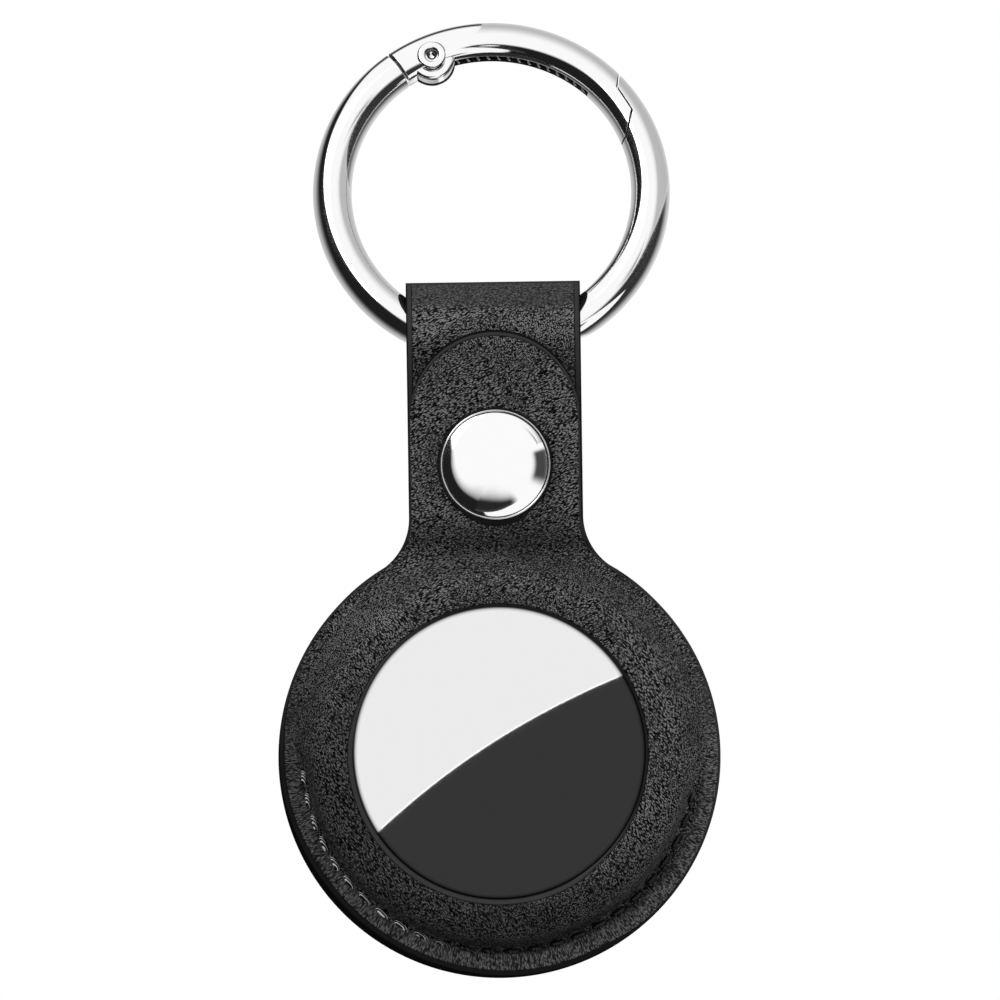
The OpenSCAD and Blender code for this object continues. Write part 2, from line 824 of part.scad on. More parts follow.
// Three spring leaves on the floor of the well, bent up under the cell
module battery_contacts() {
    reach = cell_d / 2;
    foot_share = 0.5;
    tip_share = 0.2;
    width_share = 0.22;
    leaf = [[reach * (1 - tip_share / 2), floor_top], [reach * foot_share, floor_top],
        [reach * tip_share, floor_top + contact_rise - contact_t]];
    color("goldenrod")
        at_tag()
            for (i = [0 : bayonet_count - 1])
                rotate(bayonet_pitch * (i + 1 / 2))
                    rotate([90, 0, 0])
                        linear_extrude(height = reach * width_share, center = true)
                            polygon(concat(leaf, [for (k = [2 : -1 : 0]) leaf[k] + [0, contact_t]]));
}

module circuit_board() {
    outer_r = frame_r - part_gap;
    color("darkgreen")
        at_tag() {
            translate([0, 0, board_base])
                linear_extrude(height = board_t)
                    difference() {
                        circle(r = outer_r);
                        circle(r = outer_r * board_inner_share);
                    }
            for (place = chip_places)
                rotate(place[0])
                    translate([outer_r * place[1], 0, board_base - chip_t])
                        linear_extrude(height = chip_t)
                            square(outer_r * chip_share, center = true);
        }
}

module speaker_magnet() {
    color("dimgray")
        at_tag()
            translate([0, 0, shell_floor + coil_wall])
                cylinder(r = magnet_r, h = floor_base - shell_floor - coil_wall);
}

module voice_coil() {
    color("peru")
        at_tag()
            translate([0, 0, shell_floor])
                linear_extrude(height = (floor_base - shell_floor) / 2)
                    difference() {
                        circle(r = coil_r);
                        circle(r = coil_r - coil_wall);
                    }
}

ring_frame();
ring_gate();
gate_pin();
gate_spring();
back_panel();
front_panel();
front_flap();
snap_cap();
snap_socket();
socket_spring();
snap_stud();
snap_post();
tag_shell();
inner_frame();
circuit_board();
coin_cell();
battery_contacts();
speaker_magnet();
voice_coil();
bayonet_ring();
battery_cover();
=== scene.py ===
import math

import bpy
import numpy as np
from mathutils import Matrix, Vector


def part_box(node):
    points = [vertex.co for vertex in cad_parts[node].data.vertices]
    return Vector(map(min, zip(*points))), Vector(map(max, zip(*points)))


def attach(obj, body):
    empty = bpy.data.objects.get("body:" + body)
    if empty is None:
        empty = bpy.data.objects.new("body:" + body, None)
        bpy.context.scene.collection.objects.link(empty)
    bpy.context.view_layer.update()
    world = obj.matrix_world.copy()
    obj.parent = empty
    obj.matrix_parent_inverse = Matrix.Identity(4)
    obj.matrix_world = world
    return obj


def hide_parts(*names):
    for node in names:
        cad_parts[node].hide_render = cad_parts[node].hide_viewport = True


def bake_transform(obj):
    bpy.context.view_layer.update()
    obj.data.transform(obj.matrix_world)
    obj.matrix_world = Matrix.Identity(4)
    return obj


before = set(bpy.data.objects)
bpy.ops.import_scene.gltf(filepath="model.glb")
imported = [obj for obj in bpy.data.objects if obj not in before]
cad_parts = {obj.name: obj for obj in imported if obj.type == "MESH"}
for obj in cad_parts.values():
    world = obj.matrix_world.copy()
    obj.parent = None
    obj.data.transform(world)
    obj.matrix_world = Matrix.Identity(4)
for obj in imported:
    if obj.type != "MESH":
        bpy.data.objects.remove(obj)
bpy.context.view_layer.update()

mm = 0.001
mergeGap = 0.002 * mm

# Where the ring and the fob are: the tag's shell gives the fob's middle
tag = {"thickness": 8.0, "rise": 0.4, "coverEdge": 0.25, "coverRadius": 13.9, "crown": 0.03}
ring = {"radius": 14.45, "wire": 1.75, "lean": 18.0}
shellLow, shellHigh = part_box("tag_shell")
fobY = shellHigh.y / mm - tag["thickness"] / 2
tagZ = (shellLow.z + shellHigh.z) / 2 / mm
fobZ = tagZ - tag["rise"]
ringPlace = Matrix.Rotation(math.radians(90 - ring["lean"]), 4, "X")
fobPlace = Matrix.Translation((0, fobY * mm, fobZ * mm)) @ Matrix.Rotation(math.radians(90), 4, "X")
tagPlace = fobPlace @ Matrix.Translation((0, tag["rise"] * mm, 0))


# small tools


def pick(piece):
    bpy.ops.object.select_all(action="DESELECT")
    piece.select_set(True)
    bpy.context.view_layer.objects.active = piece


def newest(name):
    piece = bpy.context.active_object
    piece.name = name
    piece.data.name = name
    return piece


def arcPoints(x, y, radius, start, end, count):
    angles = np.radians(np.linspace(start, end, count))
    return [(x + radius * math.cos(a), y + radius * math.sin(a)) for a in angles]


def polar(radius, angle):
    return (radius * math.cos(math.radians(angle)), radius * math.sin(math.radians(angle)))


def facing(piece, threshold=mergeGap):
    # merges doubles and turns the faces outwards
    pick(piece)
    bpy.ops.object.mode_set(mode="EDIT")
    bpy.ops.mesh.select_all(action="SELECT")
    bpy.ops.mesh.remove_doubles(threshold=threshold)
    bpy.ops.mesh.delete_loose()
    bpy.ops.mesh.select_all(action="SELECT")
    bpy.ops.mesh.normals_make_consistent(inside=False)
    bpy.ops.object.mode_set(mode="OBJECT")


def applied(piece, kind, **settings):
    modifier = piece.modifiers.new(kind.lower(), kind)
    for key, value in settings.items():
        setattr(modifier, key, value)
    pick(piece)
    bpy.ops.object.modifier_apply(modifier=modifier.name)


def smoothed(piece, angle=35):
    pick(piece)
    bpy.ops.object.shade_smooth_by_angle(angle=math.radians(angle))


def shaped(name, corners, filled=False):
    # a circle primitive with its corners laid on these places, in mm
    fill = "NGON" if filled else "NOTHING"
    bpy.ops.object.select_all(action="DESELECT")
    bpy.ops.mesh.primitive_circle_add(vertices=len(corners), radius=mm, fill_type=fill)
    piece = newest(name)
    for point, corner in zip(piece.data.vertices, corners):
        point.co = [value * mm for value in corner]
    return piece


def turned(name, profile, place, steps=96):
    # spins a closed profile of (radius, height) round its axis
    piece = shaped(name, [(radius, 0, height) for radius, height in profile])
    bpy.ops.object.mode_set(mode="EDIT")
    bpy.ops.mesh.select_all(action="SELECT")
    bpy.ops.mesh.spin(steps=steps, angle=2 * math.pi, center=(0, 0, 0), axis=(0, 0, 1))
    bpy.ops.object.mode_set(mode="OBJECT")
    facing(piece)
    piece.data.transform(place)
    smoothed(piece)
    return piece


def prism(outline, low, high):
    # a straight block on an outline, used to cut or to add
    block = shaped("block", [(x, y, low) for x, y in outline], True)
    bpy.ops.object.mode_set(mode="EDIT")
    bpy.ops.mesh.select_all(action="SELECT")
    bpy.ops.mesh.extrude_region_move(TRANSFORM_OT_translate={"value": (0, 0, (high - low) * mm)})
    bpy.ops.object.mode_set(mode="OBJECT")
    facing(block)
    return block


def carve(piece, block, how="DIFFERENCE", lining=None):
    # a lining is the material of the faces that the block leaves
    if lining:
        block.data.materials.append(lining)
    applied(piece, "BOOLEAN", object=block, operation=how, solver="EXACT", material_mode="TRANSFER")
    bpy.data.objects.remove(block)


def assembled(piece, body, material, nodes):
    if not piece.data.materials:
        piece.data.materials.append(material)
    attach(piece, body)
    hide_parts(*nodes)


# materials


class Wire:
    # an output socket that can be added, multiplied and so on
    def __init__(self, finish, socket):
        self.finish = finish
        self.socket = socket

    def __add__(self, other):
        return self.finish.maths("ADD", self, other)

    def __radd__(self, other):
        return self.finish.maths("ADD", other, self)

    def __sub__(self, other):
        return self.finish.maths("SUBTRACT", self, other)

    def __rsub__(self, other):
        return self.finish.maths("SUBTRACT", other, self)

    def __mul__(self, other):
        return self.finish.maths("MULTIPLY", self, other)

    def __rmul__(self, other):
        return self.finish.maths("MULTIPLY", other, self)


class Finish:
    # one material, or the world; add() takes a node's type, its settings and its sockets
    def __init__(self, name, world=False):
        self.material = (bpy.data.worlds if world else bpy.data.materials).new(name)
        self.material.use_nodes = True
        self.tree = self.material.node_tree
        self.tree.nodes.clear()

    def add(self, kind, settings=None, sockets=None, output=0):
        node = self.tree.nodes.new("ShaderNode" + kind)
        for key, value in (settings or {}).items():
            if key == "stops":
                while len(node.color_ramp.elements) < len(value):
                    node.color_ramp.elements.new(0.5)
                for stop, (position, shade) in zip(node.color_ramp.elements, value):
                    stop.position = position
                    stop.color = (shade, shade, shade, 1)
            else:
                setattr(node, key, value)
        for key, value in (sockets or {}).items():
            if isinstance(value, Wire):
                self.tree.links.new(value.socket, node.inputs[key])
            else:
                node.inputs[key].default_value = value
        return Wire(self, node.outputs[output]) if node.outputs else None

    def maths(self, operation, first, second):
        return self.add("Math", {"operation": operation}, {0: first, 1: second})

    def place(self):
        return self.add("TexCoord", output=3)

    def axis(self, spot, index):
        # one coordinate of a place, in mm
        return self.add("SeparateXYZ", {}, {0: spot}, index) * (1 / mm)

    def margin(self, index):
        # distance in mm to the leather's outline (0), or to its window or cap (1)
        return self.add("SeparateXYZ", {}, {0: self.add("UVMap", {"uv_map": "edges"})}, index)

    def noise(self, scale, detail=3.0, rough=0.5, at=None):
        return self.add("TexNoise", {}, {"Vector": at or self.place(), "Scale": scale, "Detail": detail,
                                         "Roughness": rough})

    def cells(self, scale, at, feature="F1"):
        return self.add("TexVoronoi", {"feature": feature}, {"Vector": at, "Scale": scale})

    def ramp(self, value, *stops):
        return self.add("ValToRGB", {"stops": stops}, {"Fac": value})

    def along(self, length, *stops):
        # a ramp whose stops are lengths in mm
        low, high = stops[0][0], stops[-1][0]
        share = (length - low) * (1 / (high - low))
        return self.ramp(share, *[((stop - low) / (high - low), shade) for stop, shade in stops])

    def mix(self, share, first, second):
        return self.add("Mix", {"data_type": "RGBA"}, {0: share, 6: first, 7: second}, 2)

    def bump(self, height, distance, strength=1.0, normal=None):
        sockets = {"Height": height, "Distance": distance * mm, "Strength": strength}
        if normal:
            sockets["Normal"] = normal
        return self.add("Bump", {}, sockets)

    def shown(self, shader, output="OutputMaterial"):
        self.add(output, {}, {"Surface": shader})
        return self.material

    def glow(self, colour, strength=1.0):
        return self.shown(self.add("Emission", {}, {"Color": colour, "Strength": strength}))

    def done(self, **sockets):
        named = {key.replace("_", " "): value for key, value in sockets.items()}
        return self.shown(self.add("BsdfPrincipled", {}, named))


def grey(value, warmth=0.0):
    return (value * (1 + warmth), value, value * (1 - warmth), 1)


leatherLook = {"low": 0.0005, "high": 0.24, "ink": 0.001, "pebble": 7400, "ridge": 7600, "pore": 12000,
               "ridgeTurns": (-26, 50), "depth": 0.04, "band": 0.48, "crease": 0.13, "bandTone": 0.04}


def leatherGrain(look, spot, across, height, rim):
    # pebbles and slanted ridges in patches, and short wrinkles that run out from the seam
    drift = look.add("TexNoise", {}, {"Vector": spot, "Scale": 1100, "Detail": 2.0}, 1)
    drift = look.add("VectorMath", {"operation": "SCALE"}, {0: drift, "Scale": 0.25 * mm})
    bent = look.add("VectorMath", {"operation": "ADD"}, {0: spot, 1: drift})
    pebbles = look.ramp(look.cells(leatherLook["pebble"], bent), (0.15, 1.0), (0.85, 0.0))
    ridges = []
    for turn in leatherLook["ridgeTurns"]:
        slanted = look.add("Mapping", {"vector_type": "TEXTURE"}, {
            "Vector": bent, "Rotation": (0, math.radians(turn), 0), "Scale": (2.4, 1, 0.75)})
        ridges.append(look.ramp(look.cells(leatherLook["ridge"], slanted), (0.15, 1.0), (0.85, 0.0)))
    apart = look.add("Mapping", {}, {"Vector": spot, "Location": (0.3, 0.1, 0.7)})
    sweep = look.noise(110, 1.0, 0.5, apart) + (height + 40) * 0.012
    ridge = look.mix(look.ramp(sweep, (0.44, 0.0), (0.56, 1.0)), ridges[1], ridges[0])
    patch = look.noise(170, 2.0, 0.5, spot)
    grain = look.mix(look.ramp(patch, (0.3, 0.0), (0.5, 0.9)), pebbles, ridge)
    turn = look.maths("ARCTAN2", across, height - tagZ)
    rays = look.add("CombineXYZ", {}, {"X": turn * 26 * mm, "Y": rim * 0.4 * mm})
    rays = look.ramp(look.cells(leatherLook["ridge"], rays), (0.15, 0.82), (0.85, 0.33))
    flange = look.along(rim, (1.8, 1.0), (2.3, 0.0)) * look.along(height, (-50, 1.0), (-40, 0.0))
    grain = look.mix(flange, grain, rays)
    pores = look.noise(leatherLook["pore"], 1.0, 0.5, bent)
    stretched = look.along(height, (-10.91, 0.0), (-10.06, 0.65))
    return look.mix(stretched, grain * 0.8 + pores * 0.2, grey(0.5)), patch, pores, flange


def leatherFinish():
    # grain, varying in patches, inside a crease and a painted edge; painted shade darkens it towards the
    # lower left, a painted highlight band lightens the fold and a painted dark line runs along the fold's
    # top
    look = Finish("leather_grain")
    spot = look.place()
    across, height = look.axis(spot, 0), look.axis(spot, 2)
    rim, hole = look.margin(0), look.margin(1)
    grain, patch, pores, flange = leatherGrain(look, spot, across, height, rim)
    near = look.maths("MINIMUM", rim, hole)
    band, ink = leatherLook["band"], grey(leatherLook["ink"])
    inside = look.along(near, (band, 0.0), (band + leatherLook["crease"], 1.0))
    crease = look.along(near, (band - 0.02, 0.0), (band + leatherLook["crease"] / 2, 1.0),
                        (band + leatherLook["crease"], 0.0))
    speck = look.ramp(grain, (0.28, 0.0), (0.47, 0.1), (0.6, 0.38), (0.74, 1.0))
    slant = height + across * 0.5
    # painted shade: upper darkens the grain towards the lower left, and on the flange lower darkens it
    # towards the left
    upper, lower = look.along(slant, (-62, 0.36), (-44, 1.0)), look.along(across, (-16, 0.5), (16, 0.95))
    # painted highlight: lit lightens a band across the strap's fold
    lit = look.along(height, (-14, 0.0), (-12.83, 0.5), (-11.17, 0.5), (-10.67, 0.2)) + 1
    toneWithPaintedLight = speck * (0.84 + patch * 0.32) * look.mix(flange, upper, lower) * lit
    toneWithPaintedLight = look.mix(toneWithPaintedLight, grey(leatherLook["low"]), grey(leatherLook["high"]))
    # painted shade: outline, elsewhere and shadow darken the painted edge band along the lower left
    outline = look.along(across + height, (-51.67, 1.0), (-43.33, 0.3))
    elsewhere = look.along(slant, (-62, 0.2), (-44, 1.0))
    shadow = look.mix(look.along(rim, (1.5, 1.0), (2.0, 0.0)), outline, elsewhere)
    painted = look.mix(pores, grey(leatherLook["bandTone"] * 0.8), grey(leatherLook["bandTone"] * 1.2))
    painted = look.mix(look.along(near, (0.05, 0.0), (0.2, 1.0)) * shadow, ink, painted)
    colour = look.mix(crease * 0.85, look.mix(inside, painted, toneWithPaintedLight), ink)
    return look.done(
        # painted shade: the fold's very top is painted near black, as a dark line
        Base_Color=look.mix(look.along(height, (-8.37, 0.0), (-8.22, 0.9)), colour, ink),
        Roughness=0.62 - grain * 0.2,
        Specular_IOR_Level=0.03,
        Coat_Weight=speck * inside * 0.35,
        Coat_Roughness=0.36,
        Normal=look.bump(inside * grain - 1.2 * crease, leatherLook["depth"], 1.0))


def edgeFinish():
    # burnished and painted edge of the leather
    look = Finish("edge_paint")
    wear = look.noise(1500, 3.0)
    tone = look.mix(look.along(look.margin(0), (2.0, 0.0), (4.0, 1.0)), grey(0.002), grey(0.012))
    return look.done(Base_Color=look.mix(wear, tone, grey(0.008)), Roughness=0.6 + 0.2 * wear,
                     Specular_IOR_Level=0.03, Normal=look.bump(wear, 0.02, 0.6))


def fleshFinish():
    # the leather's inner side: matt and fibrous
    look = Finish("leather_flesh_side")
    fibre = look.noise(4200, 5.0, 0.7)
    felt = look.noise(600, 3.0)
    return look.done(Base_Color=look.mix(fibre * 0.6 + felt * 0.4, grey(0.01), grey(0.045)), Roughness=0.9,
                     Specular_IOR_Level=0.2, Normal=look.bump(fibre, 0.06, 0.8))


def threadFinish():
    look = Finish("sewing_thread")
    twist = look.add("TexWave", {"wave_type": "BANDS", "bands_direction": "DIAGONAL"},
                     {"Vector": look.place(), "Scale": 1900, "Distortion": 0.6, "Detail": 1.0})
    across = look.axis(look.place(), 0)
    slant = look.axis(look.place(), 2) + across * 0.5
    # painted highlights: lit marks the thread's left part and upper right, where narrow twist bands are
    # painted light grey in place of glints
    lit = look.along(across, (-8.33, 1.0), (-4.17, 0.0)) + look.along(slant, (-46.5, 0.0), (-44.5, 1.0))
    toneWithPaintedLight = lit * look.ramp(twist, (0.7, 0.0), (0.9, 1.0))
    return look.done(Base_Color=look.mix(toneWithPaintedLight, grey(0.002), grey(0.6)), Roughness=0.3 + 0.1 * twist,
                     Normal=look.bump(twist, 0.05, 0.7))


def metalFinish(name, tone, rough, smear=0.02, bevel=0.06, warmth=0.0, grain=900, wave=0.001):
    look = Finish(name)
    haze = look.noise(grain, 4.0, 0.6)
    edge = look.add("Bevel", {"samples": 6}, {"Radius": bevel * mm}) if bevel else None
    return look.done(
        Base_Color=look.mix(haze, grey(tone * 0.97, warmth), grey(tone, warmth)),
        Metallic=1.0,
        Roughness=rough + smear * haze,
        Normal=look.bump(haze, wave, 0.25, edge))


def plasticFinish(name, low, high, rough):
    look = Finish(name)
    cloud = look.noise(500, 4.0)
    return look.done(Base_Color=look.mix(cloud, low, high), Roughness=rough + 0.06 * cloud,
                     Normal=look.bump(look.noise(3000, 2.0), 0.004, 0.3))


def faceFinish():
    # polished face with a painted shadow: a dark ring painted near its edge, where the leather's window
    # edge shades it
    look = Finish("cover_steel")
    haze = look.noise(900, 4.0, 0.6)
    middle = (0, (fobY - tag["thickness"] / 2) * mm, tagZ * mm)
    reach = look.add("VectorMath", {"operation": "DISTANCE"}, {0: look.place(), 1: middle}, 1) * (1 / mm)
    # painted shadow: the face is painted darker, then black, towards the window's edge
    paintedShadowRing = look.along(reach, (12.84, 1.0), (13.02, 0.72), (13.2, 0.02))
    polish = look.mix(haze, grey(0.825), grey(0.84))
    return look.done(
        Base_Color=look.mix(paintedShadowRing, grey(0.0), polish),
        Metallic=1.0,
        Roughness=0.004 + 0.003 * haze,
        Normal=look.bump(haze, 0.00003, 0.25))


leather = leatherFinish()
edgePaint = edgeFinish()
fleshSide = fleshFinish()
thread = threadFinish()
ringChrome = metalFinish("ring_chrome", 0.96, 0.05)
capChrome = metalFinish("cap_chrome", 0.97, 0.04)
# painted shade: rim_chrome is a darker, rougher copy of the chrome, for the cap's rolled lip
rimChrome = metalFinish("rim_chrome", 0.62, 0.12)
nickel = metalFinish("nickel", 0.62, 0.2, 0.08, warmth=0.03)
springSteel = metalFinish("spring_steel", 0.4, 0.2, 0.1)
# painted shade: near black material for faces inside gaps, channels, seats and holes
gapShade = plasticFinish("painted_gap_shade", grey(0.004), grey(0.012), 0.5)
coverSteel = faceFinish()
print("materials mixed")


# spring gate ring

latch = {"angles": (46, 39.3, 29.4, 21.4, 17.7), "shares": (1.6, 0.27, 0.19, -0.69, -1.68), "gap": 0.12}
gate = {"pinAngle": 112.4, "tail": 12.6, "tailGap": 0.3, "inset": 0.7, "knuckle": 2.1, "boss": 1.2,
        "soft": 0.4, "channel": 1.5, "web": 0.9, "eye": 2.0, "tongue": 1.35, "tongueRise": (-1.57, 0.79),
        "bore": 0.6, "shank": 0.95, "head": 1.25, "headRise": 0.3, "play": 0.05}
cutHigh = 4  # past the ring's wire on either side
gateTail = gate["pinAngle"] + gate["tail"]
pinRadius = ring["radius"] - gate["inset"]
pinSpot = polar(pinRadius, gate["pinAngle"])
pinPlace = Matrix.Translation((pinSpot[0] * mm, pinSpot[1] * mm, 0))
knuckleHalf = math.sqrt(ring["wire"] ** 2 - gate["inset"] ** 2)


def gateOutline(tailMore, latchMore):
    tail = gateTail + math.degrees(math.atan(tailMore / ring["radius"]))
    outer = [polar(ring["radius"] * 1.6, a) for a in np.linspace(tail, latch["angles"][0], 4)]
    steps = [polar(ring["radius"] + ring["wire"] * share + latchMore,
                   angle - math.degrees(math.atan(latchMore / ring["radius"])))
             for angle, share in zip(latch["angles"], latch["shares"])]
    inner = [polar(ring["radius"] * 0.45, a) for a in np.linspace(latch["angles"][4], tail, 4)]
    return outer + steps + inner


def ringPart(inner, outer, start, end, count=40):
    return arcPoints(0, 0, outer, start, end, count) + arcPoints(0, 0, inner, end, start, count)


def disc(radius, count=48):
    circle = arcPoints(0, 0, radius, 0, 360 - 360 / count, count)
    return [(x + pinSpot[0], y + pinSpot[1]) for x, y in circle]


def wholeRing(name):
    bpy.ops.object.select_all(action="DESELECT")
    bpy.ops.mesh.primitive_torus_add(major_segments=240, minor_segments=56,
                                     major_radius=ring["radius"] * mm, minor_radius=ring["wire"] * mm)
    piece = newest(name)
    piece.data.materials.append(ringChrome)
    return piece


def finishRingPart(piece, body, node):
    facing(piece)
    smoothed(piece, 25)
    piece.data.transform(ringPlace)
    assembled(piece, body, ringChrome, [node])


def makeFrame():
    piece = wholeRing("ring_frame_bar")
    halfTongue = gate["tongue"] / 2
    low, high = (ring["radius"] + rise for rise in gate["tongueRise"])
    gap = gateOutline(gate["tailGap"] / 2, latch["gap"] / 2)
    reach = ringPart(low, high, gate["pinAngle"], gateTail + 4)
    # painted shade: the gap's cut faces are painted near black
    carve(piece, prism(gap, -cutHigh, cutHigh), lining=gapShade)
    carve(piece, prism(reach, -halfTongue, halfTongue), "UNION")
    carve(piece, prism(disc(gate["eye"]), -halfTongue, halfTongue), "UNION")
    carve(piece, prism(disc(gate["shank"] + gate["play"]), -cutHigh, cutHigh))
    finishRingPart(piece, "ring", "ring_frame")


def makeGate():
    piece = wholeRing("ring_gate_arm")
    halfChannel = gate["channel"] / 2
    arm = gateOutline(-gate["tailGap"] / 2, -latch["gap"] / 2)
    # painted shade: the faces that the gap, the channel, the eye and the heads' seats leave are painted
    # near black
    carve(piece, prism(arm, -cutHigh, cutHigh), "INTERSECT", gapShade)
    corner = arcPoints(gate["knuckle"] - gate["soft"], gate["boss"] - gate["soft"], gate["soft"], 0, 90, 9)
    side = corner + [(0, gate["boss"]), (0, -gate["boss"])] + [(r, -h) for r, h in reversed(corner)]
    carve(piece, turned("knuckle", side, pinPlace), "UNION")
    channel = ringPart(ring["radius"] * 0.45, ring["radius"] + ring["wire"] - gate["web"],
                       latch["angles"][0], gateTail + 6)
    carve(piece, prism(channel, -halfChannel, halfChannel), lining=gapShade)
    carve(piece, prism(disc(gate["eye"] + 0.15), -halfChannel, halfChannel), lining=gapShade)
    carve(piece, prism(disc(gate["shank"] + gate["play"]), -cutHigh, cutHigh))
    for low, high in ((knuckleHalf, cutHigh), (-cutHigh, -knuckleHalf)):
        carve(piece, prism(disc(gate["head"] + gate["play"]), low, high), lining=gapShade)
    finishRingPart(piece, "gate", "ring_gate")


def makePin():
    # hollow, with rolled heads that sit in the knuckle
    bore, head = gate["bore"], gate["head"]
    seat = knuckleHalf + gate["play"]
    top = seat + gate["headRise"]
    side = [(gate["shank"], seat), (head - 0.05, seat)]
    side += arcPoints(head - 0.15, top - 0.15, 0.15, -20, 90, 8)
    side += arcPoints(bore + 0.2, top - 0.2, 0.2, 90, 180, 8)
    side += [(bore, top - 0.45), (bore * 0.75, top - 0.62), (bore * 0.3, top - 0.8), (0, top - 0.84)]
    piece = turned("hinge_rivet", side + [(r, -h) for r, h in reversed(side)], Matrix(), 64)
    for material in (ringChrome, gapShade):
        piece.data.materials.append(material)
    # painted shade: the bore's wall and the head's outer edge are painted near black
    for face in piece.data.polygons:
        far = math.hypot(face.center.x, face.center.y) / mm
        face.material_index = int(abs(far - bore) < 0.04 or far > head - 0.03)
    piece.data.transform(ringPlace @ pinPlace)
    assembled(piece, "ring", ringChrome, ["gate_pin"])


def makeGateSpring():
    # a coil of wire bent along the gate's channel
    coil = {"radius": pinRadius - 0.4, "coil": 0.465, "wire": 0.11, "turns": 14,
            "start": 104.7, "end": 47.0}
    count = coil["turns"] * 20
    shape = bpy.data.curves.new("gate_coil", "CURVE")
    shape.dimensions = "3D"
    shape.bevel_depth = coil["wire"] * mm
    shape.bevel_resolution = 3
    line = shape.splines.new("POLY")
    line.points.add(count)
    for i, point in enumerate(line.points):
        along = i / count
        at = math.radians(coil["start"] + (coil["end"] - coil["start"]) * along)
        turn = 2 * math.pi * coil["turns"] * along
        reach = coil["radius"] + coil["coil"] * math.cos(turn)
        rise = coil["coil"] * math.sin(turn)
        point.co = (reach * math.cos(at) * mm, reach * math.sin(at) * mm, rise * mm, 1)
    piece = bpy.data.objects.new("gate_coil", shape)
    bpy.context.scene.collection.objects.link(piece)
    pick(piece)
    bpy.ops.object.convert(target="MESH")
    piece.data.transform(ringPlace)
    smoothed(piece, 60)
    assembled(piece, "gate", springSteel, ["gate_spring"])


makeFrame()
makeGate()
makePin()
makeGateSpring()
print("ring made")


# leather

# walls are (lean, radius of the foot), where the leather hangs free and where the seam holds it
pouch = {"radius": 20.05, "flare": 5.6, "flange": 0.58, "thickness": 1.02, "window": 13.4, "crest": 15.0,
         "crestHeight": 4.67, "crestBend": 4, "shoulder": 1.65, "freeWall": (32, 1.2),
         "sewnWall": (12, 0.8), "edge": 0.34, "corner": 0.17, "bend": (-0.6, 5.2)}
back = {"height": 4.67, "reach": 16.62, "shoulder": 2.55, "wall": (12, 0.9),
        "rings": (0.6, 2, 4.5, 7.5, 10.5, 12.6)}
sheetColumns, strapColumns = 400, 48
farOff = 9.0  # mm to an edge that a sheet hasn't
strap = {"width": 15.8, "height": 38.755, "fold": 3.85, "spread": 24.8, "end": 21.4, "joined": 24.0,
         "layer": 0.55}
tongue = {"width": 15.3, "tip": 38.605, "rampStart": 18.2, "rampEnd": 22.3, "height": 3.55,
          "leanStart": 31.7, "slope": 0.234, "neck": (14, 18), "neckEnd": 24}
# angles and heights between which the outline is painted black further in, as painted shade (lower left),
# and where the painted edge is left out or covers the side
bandPlan = {"shadedEdge": ((176, 222), (232, 292)), "shadedEdgeBy": 0.42, "sewn": ((150, 182), (296, 316)),
            "bareBy": 0.52, "side": (5.5, 7.2), "sideTop": (29, 33), "sideBy": 4.8, "tongue": (16, 24),
            "tongueBy": 0.22}
seam = {"radius": 17.87, "rise": 0.2, "start": 186.0, "end": 359.7, "count": 27, "length": 1.6,
        "thread": 0.23, "turn": 84, "height": 1.12, "dip": 0.3,
        "pull": {"width": 0.42, "along": 0.07, "hole": 0.16}}
snapUp = 26.5
# where the cap presses the leather; crease is where a painted shadow ring round the cap begins
snapPress = {"crease": 4.7, "radius": 5, "width": 0.7, "depth": 0.1, "reach": 8}


def slope(start, reach, high, edge, wall):
    # rounded shoulder, leaning wall and rounded foot of the raised part, with start as its first points
    lean, foot = wall
    profile = start + arcPoints(reach - edge, high - edge, edge, 90, lean, 16)
    turn = math.radians(lean)
    last = profile[-1]
    footTop = pouch["flange"] + foot * (1 - math.sin(turn))
    wallEnd = last[0] + (last[1] - footTop) * math.tan(turn)
    centre = wallEnd + foot * math.cos(turn)
    straight = [(last[0] + (wallEnd - last[0]) * i / 5, last[1] + (footTop - last[1]) * i / 5)
                for i in range(1, 5)]
    rounded = arcPoints(centre, pouch["flange"] + foot, foot, 180 + lean, 270, 9)
    return np.array(profile + straight + rounded)


def sewn(x, up):
    # 1 where the seam holds the leather down, 0 round the upper part
    angle = np.degrees(np.arctan2(up - seam["rise"], x)) % 360
    return smoothStep(angle, seam["start"] - 14, seam["start"]) * (1 - smoothStep(angle, 346, 360))


def outlineHalf(width):
    # right half of the pouch's outline, from the bottom to where the strap's straight side begins
    side = width / 2 + pouch["flare"]
    high = math.sqrt((pouch["radius"] + pouch["flare"]) ** 2 - side ** 2)
    turn = math.degrees(math.atan2(high, side))
    return (arcPoints(0, 0, pouch["radius"], -90, turn, 300)
            + arcPoints(side, high, pouch["flare"], turn + 180, 180, 60)[1:])


def mirrored(half):
    return half + [(-x, y) for x, y in reversed(half)][1:]


def spaced(line, count):
    # the same line with evenly spaced points
    line = np.array(line)
    run = np.concatenate([[0], np.cumsum(np.linalg.norm(np.diff(line, axis=0), axis=1))])
    at = np.linspace(0, run[-1], count + 1)
    return np.stack([np.interp(at, run, line[:, i]) for i in range(line.shape[1])], axis=1)


def smoothStep(value, start, end):
    share = np.clip((value - start) / (end - start), 0, 1)
    return (1 - np.cos(math.pi * share)) / 2


def tongueHeight(up):
    past = up - tongue["leanStart"]
    lean = tongue["slope"] * (past + np.sqrt(past ** 2 + 1)) / 2
    return (pouch["flange"] + (tongue["height"] - pouch["flange"])
            * smoothStep(up, tongue["rampStart"], tongue["rampEnd"]) + lean)


